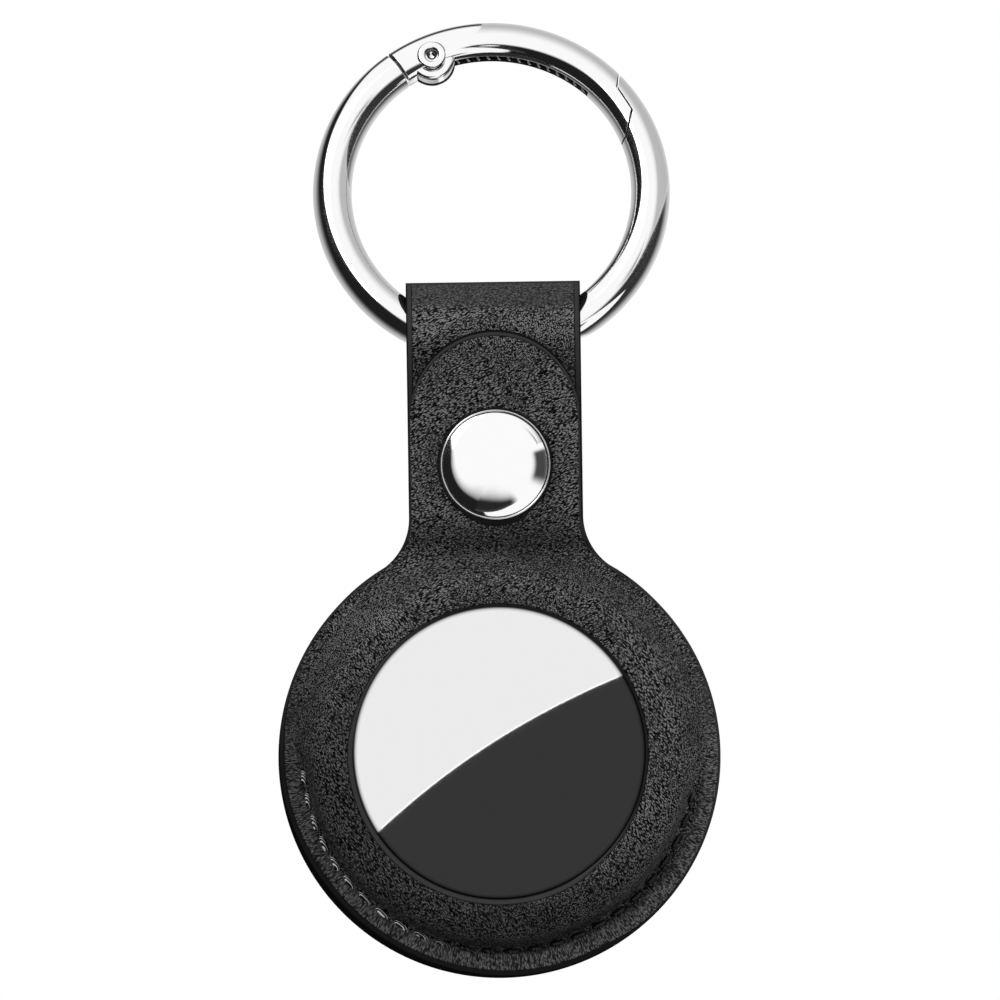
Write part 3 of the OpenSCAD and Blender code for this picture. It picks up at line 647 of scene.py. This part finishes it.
def pucker(x, up):
    # how far the seam pulls the leather down, deepest where the needle went in
    angle = np.degrees(np.arctan2(up - seam["rise"], x)) % 360
    radius = np.hypot(x, up - seam["rise"])
    pitch = (seam["end"] - seam["start"]) / (seam["count"] - 1)
    holes = 0.5 - 0.5 * np.cos(2 * math.pi * (angle - seam["start"]) / pitch)
    begun = smoothStep(angle, seam["start"] - 5, seam["start"] - 1)
    along = begun * (1 - smoothStep(angle, seam["end"] - 0.4, 360))
    pull = seam["pull"]
    beside = np.exp(-((radius - seam["radius"]) / pull["width"]) ** 2)
    return along * beside * (pull["along"] + pull["hole"] * holes)


def leatherSheet(name, grid, edges):
    # lays a grid primitive on the worked-out points; edges holds each point's distances for the UV map
    rows, columns = grid.shape[:2]
    bpy.ops.object.select_all(action="DESELECT")
    bpy.ops.mesh.primitive_grid_add(x_subdivisions=columns - 1, y_subdivisions=rows - 1, size=mm)
    piece = newest(name)
    piece.data.vertices.foreach_set("co", (grid * mm).astype(np.float32).ravel())
    piece.data.uv_layers.remove(piece.data.uv_layers[0])
    layer = piece.data.uv_layers.new(name="edges")
    corners = np.array([loop.vertex_index for loop in piece.data.loops])
    layer.data.foreach_set("uv", edges.reshape(-1, 2)[corners].astype(np.float32).ravel())
    return piece


def thickened(piece, thickness, group=None):
    for material in (leather, edgePaint, fleshSide):
        piece.data.materials.append(material)
    settings = {"thickness": thickness * mm, "offset": 0, "use_even_offset": True, "material_offset": 2,
                "material_offset_rim": 1, "use_quality_normals": True}
    if group:
        settings.update(vertex_group=group, thickness_vertex_group=0.7)
    applied(piece, "SOLIDIFY", **settings)
    applied(piece, "BEVEL", width=pouch["corner"] * mm, segments=3, limit_method="ANGLE",
            angle_limit=math.radians(50), material=1, use_clamp_overlap=True, loop_slide=False)
    smoothed(piece, 70)


def fanned(outline):
    # the middle of the tag, and each outline point's distance and direction from it
    middle = np.array([0, tag["rise"]])
    reach = np.linalg.norm(outline - middle, axis=1)
    return middle, reach, (outline - middle) / reach[:, None]


def higher(first, second):
    # the greater of two heights, with a soft step between them
    return (first + second + np.sqrt((first - second) ** 2 + 0.2)) / 2


def frontOutline():
    half = tongue["width"] / 2
    tipStart = tongue["tip"] - half
    side = outlineHalf(tongue["width"])
    side += [(half, y) for y in np.linspace(side[-1][1], tipStart, 30)[1:]]
    side += arcPoints(0, tipStart, half, 0, 90, 60)[1:]
    return spaced(mirrored(side), sheetColumns)


def paintedEdge(outline):
    # how far the painted edge is left out along the outline, and where the leather has none
    angle = np.degrees(np.arctan2(outline[:, 1], outline[:, 0])) % 360
    plan = bandPlan
    # painted shade: in the lower left angles the outline is painted black further in
    shadedEdge, held = (smoothStep(angle, *plan[part][0]) * (1 - smoothStep(angle, *plan[part][1]))
                  for part in ("shadedEdge", "sewn"))
    bare = 1 - held
    side = smoothStep(-outline[:, 0], *plan["side"]) * (1 - smoothStep(outline[:, 1], *plan["sideTop"]))
    onTongue = smoothStep(outline[:, 1], *plan["tongue"])
    skipped = onTongue * (plan["tongueBy"] + plan["sideBy"] * side - plan["bareBy"] * bare)
    return skipped - plan["shadedEdgeBy"] * shadedEdge + plan["bareBy"] * bare, bare


def frontGrid(outline, free, held):
    # rows of points from the window to the outline, and their distances for the UV map
    middle, reach, way = fanned(outline)
    skipped, bare = paintedEdge(outline)
    share = sewn(outline[:, 0], outline[:, 1])[:, None]
    rows, edges = [], []
    for radius, height in (free[:, None] * (1 - share) + held[:, None] * share).transpose(0, 2, 1):
        flat = middle + way * radius[:, None]
        crown = higher(height, tongueHeight(flat[:, 1])) - height
        rows.append(np.column_stack([flat, height + crown * smoothStep(flat[:, 1], *tongue["neck"])]))
        bordered = radius - pouch["window"] + 0.06 + 0.24 * bare
        edges.append(np.column_stack([reach - radius + skipped, bordered]))
    valley = radius
    for along in list(np.linspace(0, 1, 40)[1:]) + [None]:
        last = along is None
        radius = reach if last else valley + (reach - pouch["edge"] - valley) * along
        flat = middle + way * radius[:, None]
        lift = tongueHeight(flat[:, 1])
        crown = smoothStep(flat[:, 1], *tongue["neck"]) * (flat[:, 1] < tongue["neckEnd"])
        rows.append(np.column_stack([flat, lift + (higher(pouch["flange"], lift) - lift) * crown]))
        drawn = skipped - bandPlan["bareBy"] * bare * (outline[:, 1] < 20) * last
        edges.append(np.column_stack([reach - radius + drawn, radius - pouch["window"]]))
    return np.array(rows), np.array(edges)


def makeFront():
    # one sheet from the window's edge over the crest to the flange and the tongue
    bend, top = pouch["crestBend"], pouch["crestHeight"]
    start = math.degrees(math.acos(-(pouch["crest"] - pouch["window"]) / bend))
    lip = arcPoints(pouch["crest"], top - bend, bend, start, 90, 8)[:-1]
    free, held = (slope(lip, pouch["crest"] + pouch["shoulder"], top, pouch["shoulder"], wall)
                  for wall in (pouch["freeWall"], pouch["sewnWall"]))
    grid, edges = frontGrid(frontOutline(), free, held)
    grid[..., 2] -= pucker(grid[..., 0], grid[..., 1])
    snapFar = np.hypot(grid[..., 0], grid[..., 1] - snapUp)
    # painted shadow: the painted edge band and crease line also run round the cap, as a dark ring
    edges[..., 1] = np.minimum(edges[..., 1], snapFar - snapPress["crease"])
    dent = np.exp(-((snapFar - snapPress["radius"]) / snapPress["width"]) ** 2)
    grid[..., 2] -= snapPress["depth"] * dent * (snapFar < snapPress["reach"])
    piece = leatherSheet("pouch_front_leather", grid, edges)
    weights = piece.vertex_groups.new(name="full")  # the leather thins towards the window
    row = sheetColumns + 1
    for i, (radius, height) in enumerate(free[:8]):
        share = float(smoothStep(radius, pouch["window"], pouch["crest"]))
        weights.add(list(range(i * row, (i + 1) * row)), share, "REPLACE")
    weights.add(list(range(8 * row, len(piece.data.vertices))), 1.0, "REPLACE")
    facing(piece)
    if sum(face.normal.z * face.area for face in piece.data.polygons) < 0:
        piece.data.flip_normals()
    thickened(piece, pouch["thickness"], "full")
    piece.data.transform(fobPlace)
    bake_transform(piece)
    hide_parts("front_panel", "front_flap")


def strapLine():
    # side view of the strap, (forward, up), from behind the pouch round the ring and down to its free end
    spread = math.radians(strap["spread"])
    apex = strap["height"] - strap["fold"] / math.sin(spread)
    kink = apex + strap["layer"] / math.tan(spread)
    touch = (strap["fold"] * math.cos(spread), strap["height"] - strap["fold"] * math.sin(spread))
    behind = [(-strap["layer"], strap["joined"]), (-strap["layer"], kink), (-touch[0], touch[1])]
    over = arcPoints(0, strap["height"], strap["fold"], 180 + strap["spread"], -strap["spread"], 60)
    front = [(touch[0], touch[1]), (strap["layer"] + 0.05, kink), (strap["layer"] + 0.05, strap["end"])]
    line = spaced(behind + over[1:-1] + front, 160)
    for _ in range(6):
        line[1:-1] = (line[:-2] + 2 * line[1:-1] + line[2:]) / 4
    return line


def backOutline(across):
    side = outlineHalf(strap["width"])
    side += [(strap["width"] / 2, y) for y in np.linspace(side[-1][1], strap["joined"], 12)[1:]]
    right = spaced(side, (sheetColumns - strapColumns) // 2)
    top = [(x, strap["joined"]) for x in across]
    return np.array(list(right) + top[1:-1] + [(-x, y) for x, y in reversed(right)])


def backGrid(outline):
    # rows of points from the middle to the outline, and their distances for the UV map
    middle, reach, way = fanned(outline)
    number = len(outline)
    start = [(radius, back["height"]) for radius in back["rings"]]
    inner = slope(start, back["reach"], back["height"], back["shoulder"], back["wall"])
    rows = [np.column_stack([middle + way * radius, np.full(number, -height)]) for radius, height in inner]
    edges = [np.column_stack([reach - radius, np.full(number, farOff)]) for radius, height in inner]
    joined = 5.0 * (outline[:, 1] > strap["joined"] - 0.01)
    valley = inner[-1][0]
    for share in list(np.linspace(0, 1, 15)[1:]) + [None]:
        radius = reach if share is None else valley + (reach - pouch["edge"] - valley) * share
        flat = middle + way * radius[:, None]
        height = pouch["flange"] + (strap["layer"] - pouch["flange"]) * smoothStep(flat[:, 1], 18, 22)
        rows.append(np.column_stack([flat, -height]))
        beside = strap["width"] / 2 - np.abs(flat[:, 0])
        margin = np.where(flat[:, 1] > 20, beside, reach - radius + joined)
        edges.append(np.column_stack([margin, np.full(number, farOff)]))
    return np.array(rows), np.array(edges)


def closeMiddle(piece):
    # fills the small hole where the rows begin
    pick(piece)
    bpy.ops.object.mode_set(mode="EDIT")
    bpy.ops.mesh.select_all(action="SELECT")
    bpy.ops.mesh.remove_doubles(threshold=mergeGap)
    bpy.ops.mesh.select_all(action="DESELECT")
    bpy.ops.object.mode_set(mode="OBJECT")
    for edge in piece.data.edges:
        ends = [piece.data.vertices[i].co for i in edge.vertices]
        edge.select = all(math.hypot(p.x, p.y - tag["rise"] * mm) < 0.7 * mm for p in ends)
    bpy.ops.object.mode_set(mode="EDIT")
    bpy.ops.mesh.select_mode(type="EDGE")
    bpy.ops.mesh.edge_face_add()
    bpy.ops.mesh.select_mode(type="VERT")
    bpy.ops.object.mode_set(mode="OBJECT")


def makeBack():
    # the back goes on as the strap, round the ring and down to its free end
    across = np.linspace(strap["width"] / 2, -strap["width"] / 2, strapColumns + 1)
    grid, edges = backGrid(backOutline(across))
    grid[..., 2] += pucker(grid[..., 0], grid[..., 1])
    piece = leatherSheet("pouch_back_leather", grid, edges)
    closeMiddle(piece)
    line = strapLine()
    run = np.array([[(x, up, forward) for x in across] for forward, up in line])
    margins = np.array([[(strap["width"] / 2 - abs(x), farOff) for x in across] for _ in line])
    upper = leatherSheet("strap_leather", run, margins)
    pick(piece)
    upper.select_set(True)
    bpy.ops.object.join()
    facing(piece, 0.01 * mm)
    spot = Vector((0, tag["rise"], -back["height"])) * mm
    low = min(piece.data.polygons, key=lambda face: sum(abs(gap) for gap in face.center - spot))
    if low.normal.z > 0:
        piece.data.flip_normals()
    thickened(piece, pouch["thickness"])
    piece.data.transform(fobPlace)
    assembled(piece, "fob", leather, ["back_panel"])


makeFront()
makeBack()
print("leather cut and folded")


def oneStitch():
    # a short run of thread whose ends dip into the leather
    bpy.ops.object.select_all(action="DESELECT")
    bpy.ops.mesh.primitive_cylinder_add(vertices=12, radius=seam["thread"] * mm, depth=seam["length"] * mm,
                                        rotation=(0, math.radians(90), 0), end_fill_type="NOTHING")
    bpy.ops.object.transform_apply(location=True, rotation=True, scale=True)
    piece = newest("stitch")
    bpy.ops.object.mode_set(mode="EDIT")
    for step in range(1, 12):
        x = seam["length"] * (step / 12 - 0.5) * mm
        bpy.ops.mesh.select_all(action="SELECT")
        bpy.ops.mesh.bisect(plane_co=(x, 0, 0), plane_no=(1, 0, 0))
    bpy.ops.mesh.select_all(action="DESELECT")
    bpy.ops.mesh.select_non_manifold()
    bpy.ops.mesh.edge_face_add()
    bpy.ops.object.mode_set(mode="OBJECT")
    for point in piece.data.vertices:
        share = abs(point.co.x) / (seam["length"] / 2 * mm)
        slim = math.sqrt(max(0.04, 1 - share ** 4))
        point.co.y *= slim
        point.co.z = point.co.z * slim - seam["dip"] * mm * share ** 3
    return piece


def makeSeam(name, front):
    pattern = oneStitch()
    copies = []
    for i in range(seam["count"]):
        angle = math.radians(seam["start"] + (seam["end"] - seam["start"]) * i / (seam["count"] - 1))
        stitch = pattern.copy()
        stitch.data = pattern.data.copy()
        bpy.context.scene.collection.objects.link(stitch)
        x, y = seam["radius"] * math.cos(angle), seam["radius"] * math.sin(angle) + seam["rise"]
        spot = Matrix.Translation((x * mm, y * mm, seam["height"] * mm))
        stitch.data.transform(spot @ Matrix.Rotation(angle + math.radians(seam["turn"]), 4, "Z"))
        if not front:
            stitch.data.transform(Matrix.Diagonal((1, 1, -1, 1)))
        copies.append(stitch)
    bpy.data.objects.remove(pattern)
    pick(copies[0])
    for stitch in copies:
        stitch.select_set(True)
    bpy.ops.object.join()
    piece = newest(name)
    facing(piece)
    piece.data.transform(fobPlace)
    smoothed(piece, 50)
    piece.data.materials.append(thread)
    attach(piece, "fob")


makeSeam("front_stitches", True)
makeSeam("back_stitches", False)
print("seam sewn")


# snap

snap = {"cap": 5.0, "seat": 4.05, "top": 6.0, "bowl": 0.13, "shoulder": 0.47, "roll": 0.11, "lip": 0.28}
snapPlace = fobPlace @ Matrix.Translation((0, snapUp * mm, 0))


def makeCap():
    # a shallow dome that steepens near its rim, then a rolled lip
    shares = np.linspace(0, 1, 41)
    lean = snap["bowl"] * shares + snap["shoulder"] * shares ** 9
    bowl = snap["cap"] - 1.8 * snap["roll"] - 0.09
    fall = np.concatenate([[0], np.cumsum((lean[1:] + lean[:-1]) / 2 / 40)]) * bowl
    profile = [(share * bowl, snap["top"] - drop) for share, drop in zip(shares, fall)]
    rim = profile[-1][1]
    profile += [(bowl + 0.01, rim - 0.09), (bowl + 0.09, rim - 0.09)]
    profile += arcPoints(snap["cap"] - snap["roll"], rim - 0.05, snap["roll"], 140, 0, 9)
    profile += arcPoints(snap["cap"] - snap["lip"], snap["seat"] + snap["lip"], snap["lip"], 0, -90, 8)
    profile += [(1.45, snap["seat"]), (1.45, 2.85), (2.15, 2.85), (2.15, 2.7), (1.0, 2.7)]
    profile += [(1.0, snap["seat"]), (0, snap["seat"])]
    piece = turned("snap_cap_dome", profile, snapPlace, 128)
    for material in (capChrome, gapShade, rimChrome):
        piece.data.materials.append(material)
    # painted shade: a near black ring is painted in the groove inside the lip, and the lip gets the darker
    # rim_chrome
    for face in piece.data.polygons:
        far = math.hypot(face.center.x, face.center.z - snapPlace.translation.z) / mm
        face.material_index = (far > bowl - 0.005) + (far > bowl + 0.095)
    assembled(piece, "flap", capChrome, ["snap_cap"])


def makeStud():
    profile = [(1.05, 1.15)] + arcPoints(3.4, 1.25, 0.1, -90, 90, 6) + [(1.5, 1.45), (1.5, 2.05)]
    profile += arcPoints(1.625, 2.325, 0.275, -60, 90, 12) + [(1.4, 2.6), (1.05, 2.25)]
    piece = turned("snap_stud_turned", profile, snapPlace, 72)
    assembled(piece, "fob", nickel, ["snap_stud"])


def makePost():
    # its flat head shows on the strap's back
    profile = [(0, -1.6)] + arcPoints(3.75, -1.35, 0.25, -90, 0, 6)
    profile += [(4.0, -1.1), (1.0, -1.1), (1.0, 2.25), (1.3, 2.55), (0, 2.55)]
    piece = turned("rivet_post", profile, snapPlace, 96)
    assembled(piece, "fob", nickel, ["snap_post"])


def makeSocket():
    profile = arcPoints(3.55, 2.05, 0.45, -90, 0, 8)
    profile += [(4.0, 3.05), (1.5, 3.05), (1.5, 2.9), (2.3, 2.9), (2.3, 1.7), (2.1, 1.7), (2.1, 1.6)]
    piece = turned("snap_socket_cup", profile, snapPlace, 72)
    assembled(piece, "flap", nickel, ["snap_socket"])


makeCap()
makeStud()
makePost()
makeSocket()
print("snap set")


# tag


def makeCover():
    top, edge = tag["thickness"] / 2, tag["coverEdge"]
    flat = tag["coverRadius"] - 0.3
    radii = list(np.linspace(0, flat - 0.06, 24)) + [flat]
    profile = [(radius, top - tag["crown"] * (radius / flat) ** 2) for radius in radii]
    profile += arcPoints(flat, top - tag["crown"] - edge, edge, 75, 0, 6) + [(flat + edge, 3.6), (0, 3.6)]
    piece = turned("tag_steel_cover", profile, tagPlace, 160)
    assembled(piece, "cover", coverSteel, ["battery_cover"])


def makeShell():
    profile = [(14.0, 3.8)] + arcPoints(14.05, 1.9, 1.9, 90, 0, 16)
    profile += arcPoints(12.95, -1.0, 3.0, 0, -90, 20) + [(0, -4.0), (0, -3.1)]
    profile += arcPoints(11.9, -1.0, 2.1, -90, 0, 12)
    piece = turned("tag_white_shell", profile, tagPlace, 128)
    gloss = plasticFinish("tag_white_gloss", grey(0.78), grey(0.84), 0.14)
    assembled(piece, "tag", gloss, ["tag_shell"])


makeCover()
makeShell()

innerFinishes = {
    "inner_frame": plasticFinish("frame_moulded", grey(0.03), grey(0.05), 0.4),
    "circuit_board": plasticFinish("board_mask", (0.006, 0.09, 0.03, 1), (0.01, 0.14, 0.05, 1), 0.35),
    "coin_cell": metalFinish("cell_can", 0.66, 0.22, 0.08),
    "battery_contacts": metalFinish("contact_brass", 0.6, 0.18, warmth=0.25),
    "speaker_magnet": metalFinish("magnet_plate", 0.3, 0.35),
    "voice_coil": metalFinish("coil_copper", 0.45, 0.3, warmth=0.45),
    "bayonet_ring": plasticFinish("bayonet_white", grey(0.7), grey(0.78), 0.3),
    "socket_spring": springSteel,
}
for node, material in innerFinishes.items():
    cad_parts[node].data.materials.clear()
    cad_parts[node].data.materials.append(material)
print("tag assembled")


# stage, lamps and camera

cameraSet = {"distance": 3000.0, "width": 90.7, "sensor": 36, "x": 0.38, "z": -27.9, "roll": -0.82}
lamps = {"key": {"place": (-1.32, -1.32, 1.12), "size": (1.68, 1.68), "power": 28.8},
         "side": {"place": (1.68, -0.6, 0.4), "size": (0.96, 1.92), "power": 11.5}}
# where the card's edge crosses the tag's face, in mm from the face's middle
card = {"line": ((-11.01, -6.9), (-5.11, -2.17), (0.32, 1.61), (6.3, 4.64), (11.13, 6.86)), "away": 3000.0,
        "past": 15, "below": ((100, -20), (70, -80), (0, -105), (-80, -80)), "shade": 0.042,
        "strip": 0.4, "stripLight": 1.6}
shields = {"cap_shield": (fobZ + snapUp - 3.2, 6.2), "ring_shield": (11.6, 4.0)}  # height and radius


def makeStage():
    bpy.ops.object.select_all(action="DESELECT")
    bpy.ops.mesh.primitive_circle_add(vertices=96, radius=0.28, fill_type="NGON", location=(0, 0, -0.095))
    floor = newest("floor")
    look = Finish("floor_paper")
    speck = look.noise(40, 4.0)
    paper = look.add("BsdfDiffuse", {}, {"Color": look.mix(speck, grey(0.86), grey(0.9))})
    floor.data.materials.append(look.shown(paper))
    floor.visible_glossy = False


# rows are (angle round the camera's axis, inner lean, outer lean, soft length): how far a mirror leans to
# show the board's edges; inside, rim and outside are how its tone sets in, fade is for its two ends
# painted reflections: the boards are glowing sheets, not lamps, that paint the dark and grey reflections in
# the ring, the cap and the tag's face
boards = {
    "left_board": {
        "shade": 0.013, "inside": 0.09, "rim": 0.6, "outside": 0.36, "fade": (12, 8),
        "rows": ((62, 0.93, 0.96), (76, 0.87, 0.98), (90, 0.82, 1.0), (102, 0.82, 1.0), (124, 0.82, 1.0),
                 (129, 0.76, 1.0), (134, 0.67, 1.0), (140, 0.61, 1.0), (145, 0.53, 1.0), (149, 0.45, 1.0),
                 (152, 0.37, 1.0), (156, 0.3, 1.0), (160, 0.24, 1.0), (164, 0.19, 1.0), (173, 0.15, 1.0),
                 (188, 0.13, 1.0), (215, 0.1, 1.0), (235, 0.07, 1.0), (250, 0.06, 1.0), (258, 0.4, 1.0),
                 (270, 0.58, 1.0), (292, 0.75, 1.0))},
    "top_line": {
        "shade": 0.02, "inside": 0.08, "rim": 0.06, "outside": 0.12, "fade": (0.01, 14), "away": 1390.0,
        "rows": ((246, 0.065, 0.42), (258, 0.055, 0.36), (270, 0.055, 0.29), (285, 0.065, 0.22),
                 (304, 0.08, 0.18))},
    "right_board": {
        "shade": 0.03, "inside": 0.1, "rim": 0.7, "outside": 0.32, "fade": (36, 5),
        "rows": ((58, 0.22, 0.34), (38, 0.22, 0.35), (28, 0.23, 0.38), (18, 0.25, 0.5), (13, 0.27, 0.68),
                 (9, 0.27, 1.0), (0, 0.25, 1.0), (-29, 0.22, 1.0), (-45, 0.22, 1.0), (-58, 0.4, 1.0))},
    "grey_screen": {
        "shade": 0.5, "inside": 0.12, "rim": 0.66, "outside": 0.16,
        "rows": ((92, 0.4, 1.0, 0.5), (65, 0.35, 1.0, 0.5), (50, 0.32, 1.0, 0.4), (36, 0.32, 1.0, 0.2),
                 (9, 0.3, 1.0, 0.12))},
    "cap_card": {
        "shade": 1.0, "inside": 0.1, "rim": 1.0, "outside": 0.1, "away": 30.0, "drop": 24.7,
        "rows": ((25, 0.12, 0.56), (-20, 0.12, 0.56), (-58, 0.12, 0.4))},
    "cap_patch": {
        "shade": 0.06, "inside": 0.05, "rim": 0.12, "outside": 0.1, "fade": (5, 16), "away": 28.0,
        "drop": 24.7, "rows": ((20, 0.13, 0.4), (-30, 0.12, 0.4))},
}


def mirrorWay(lean, angle):
    # where a mirror that leans this much in this direction looks, from the camera's side
    nx, nz = lean * math.cos(math.radians(angle)), lean * math.sin(math.radians(angle))
    ny = math.sqrt(max(0.0, 1 - lean * lean))
    return Vector((2 * ny * nx, 1 - 2 * ny * ny, 2 * ny * nz))


def unseen(piece):
    # only mirrors see it
    piece.visible_camera = False
    piece.visible_diffuse = False
    piece.visible_shadow = False


def makeBoard(name, board):
    across, away, drop = 20, board.get("away", 1400.0), board.get("drop", 0.0)
    fades = board.get("fade", (0.01, 0.01))
    first, last = board["rows"][0][0], board["rows"][-1][0]
    count = int(abs(last - first) / 2) + 1
    turns = np.linspace(first, last, count)
    rows = np.array(sorted((row + (board["inside"],))[:4] for row in board["rows"]))
    inner, outer, soft = (np.interp(turns, rows[:, 0], rows[:, i]) for i in (1, 2, 3))
    bpy.ops.object.select_all(action="DESELECT")
    bpy.ops.mesh.primitive_grid_add(x_subdivisions=across, y_subdivisions=count - 1, size=mm)
    piece = newest(name)
    shade = piece.data.attributes.new("shade", "FLOAT", "POINT")
    for i, (turn, low, high, ease) in enumerate(zip(turns, inner, outer, soft)):
        fade = (smoothStep(abs(turn - first) + 0.01, 0, fades[0])
                * smoothStep(abs(turn - last) + 0.01, 0, fades[1]))
        for j in range(across + 1):
            lean = low + (high - low) * j / across
            point = i * (across + 1) + j
            piece.data.vertices[point].co = (mirrorWay(lean, turn) * away - Vector((0, 0, drop))) * mm
            near = smoothStep(lean - low, 0, min(ease, 0.8 * (high - low)))
            far = smoothStep(high - lean, 0, min(board["outside"], 0.4 * (high - low)))
            tone = board["rim"] + (board["shade"] - board["rim"]) * far
            shade.data[point].value = 1 + (tone - 1) * near * fade
    look = Finish(name + "_cloth")
    piece.data.materials.append(look.glow(look.add("Attribute", {"attribute_name": "shade"}, {}, 2)))
    unseen(piece)


def farSpot(x, up):
    # the place on the card's plane that the camera sees mirrored at a place on the tag's face
    z = up + tagZ
    bend = 4 * tag["crown"] / tag["coverRadius"] ** 2
    slopes = (x - cameraSet["x"]) / cameraSet["distance"], (z - cameraSet["z"]) / cameraSet["distance"]
    return Vector((x + (slopes[0] + bend * x) * card["away"], z + (slopes[1] + bend * up) * card["away"]))


def hang(name, outline, colour, strength=1.0):
    y = fobY - tag["thickness"] / 2 - card["away"]
    sheet = shaped(name, [(x, y, z) for x, z in outline], True)
    sheet.data.materials.append(Finish(name + "_cloth").glow(colour, strength))
    unseen(sheet)


def makeCard():
    # a dark glowing card far behind the camera, which the flat steel face mirrors as a painted reflection,
    # and a brighter glowing strip along its edge, a painted highlight line
    spots = [farSpot(x, up) for x, up in card["line"]]
    curve = np.polyfit([spot.x for spot in spots], [spot.y for spot in spots], 3)
    spots = [Vector((x, np.polyval(curve, x))) for x in np.linspace(spots[0].x, spots[-1].x, 30)]
    start = spots[0] + (spots[0] - spots[1]).normalized() * card["past"]
    end = spots[-1] + (spots[-1] - spots[-2]).normalized() * card["past"]
    middle = farSpot(0, 0)
    hang("dark_card", [start] + spots + [end] + [middle + Vector(corner) for corner in card["below"]],
         grey(card["shade"]))
    lifted = [spot + Vector((-0.55, 0.84)) * card["strip"] for spot in spots]
    hang("bright_strip", spots + lifted[::-1], grey(1.0), card["stripLight"])


def makeShields():
    # glowing white discs, painted reflections that keep the card out of the cap's and the ring's
    # reflections
    paper = Finish("shield_glow").glow(grey(1.0))
    for name, (height, reach) in shields.items():
        bpy.ops.object.select_all(action="DESELECT")
        bpy.ops.mesh.primitive_circle_add(
            vertices=32, radius=reach * mm, fill_type="NGON", location=(0, -0.1, height * mm),
            rotation=(math.radians(90), 0, 0))
        shield = newest(name)
        shield.data.materials.append(paper)
        unseen(shield)


def softbox(name, place, size, power, aim=(0, 0, -0.03)):
    light = bpy.data.lights.new(name, "AREA")
    light.shape = "RECTANGLE"
    light.size, light.size_y = size
    light.energy = power
    lamp = bpy.data.objects.new(name, light)
    bpy.context.scene.collection.objects.link(lamp)
    lamp.location = place
    lamp.rotation_euler = (Vector(aim) - Vector(place)).to_track_quat("-Z", "Y").to_euler()


def makeWorld():
    # white to the camera and in mirrors, softer on what it lights
    look = Finish("studio", world=True)
    camera, glossy, through = (look.add("LightPath", output=f"Is {kind} Ray")
                               for kind in ("Camera", "Glossy", "Transmission"))
    seen = look.maths("MAXIMUM", camera, look.maths("MAXIMUM", glossy, through))
    shade = look.mix(seen, grey(0.42), grey(1.0))
    bpy.context.scene.world = look.shown(look.add("Background", {}, {"Color": shade}), "OutputWorld")


def makeCamera():
    lens = bpy.data.cameras.new("camera")
    camera = bpy.data.objects.new("camera", lens)
    bpy.context.scene.collection.objects.link(camera)
    lens.sensor_width = cameraSet["sensor"]
    lens.lens = cameraSet["sensor"] * cameraSet["distance"] / cameraSet["width"]
    lens.clip_start, lens.clip_end = 0.01, 20
    spot = (cameraSet["x"], fobY - cameraSet["distance"], cameraSet["z"])
    aim = Matrix.Translation([value * mm for value in spot])
    camera.matrix_world = (aim @ Matrix.Rotation(math.radians(90), 4, "X")
                           @ Matrix.Rotation(math.radians(cameraSet["roll"]), 4, "Z"))
    bpy.context.scene.camera = camera


makeStage()
makeCard()
makeShields()
for name, board in boards.items():
    makeBoard(name, board)
for name, lamp in lamps.items():
    softbox(name, **lamp)
makeWorld()
makeCamera()
bpy.context.scene.view_settings.view_transform = "Standard"
print("stage lit")
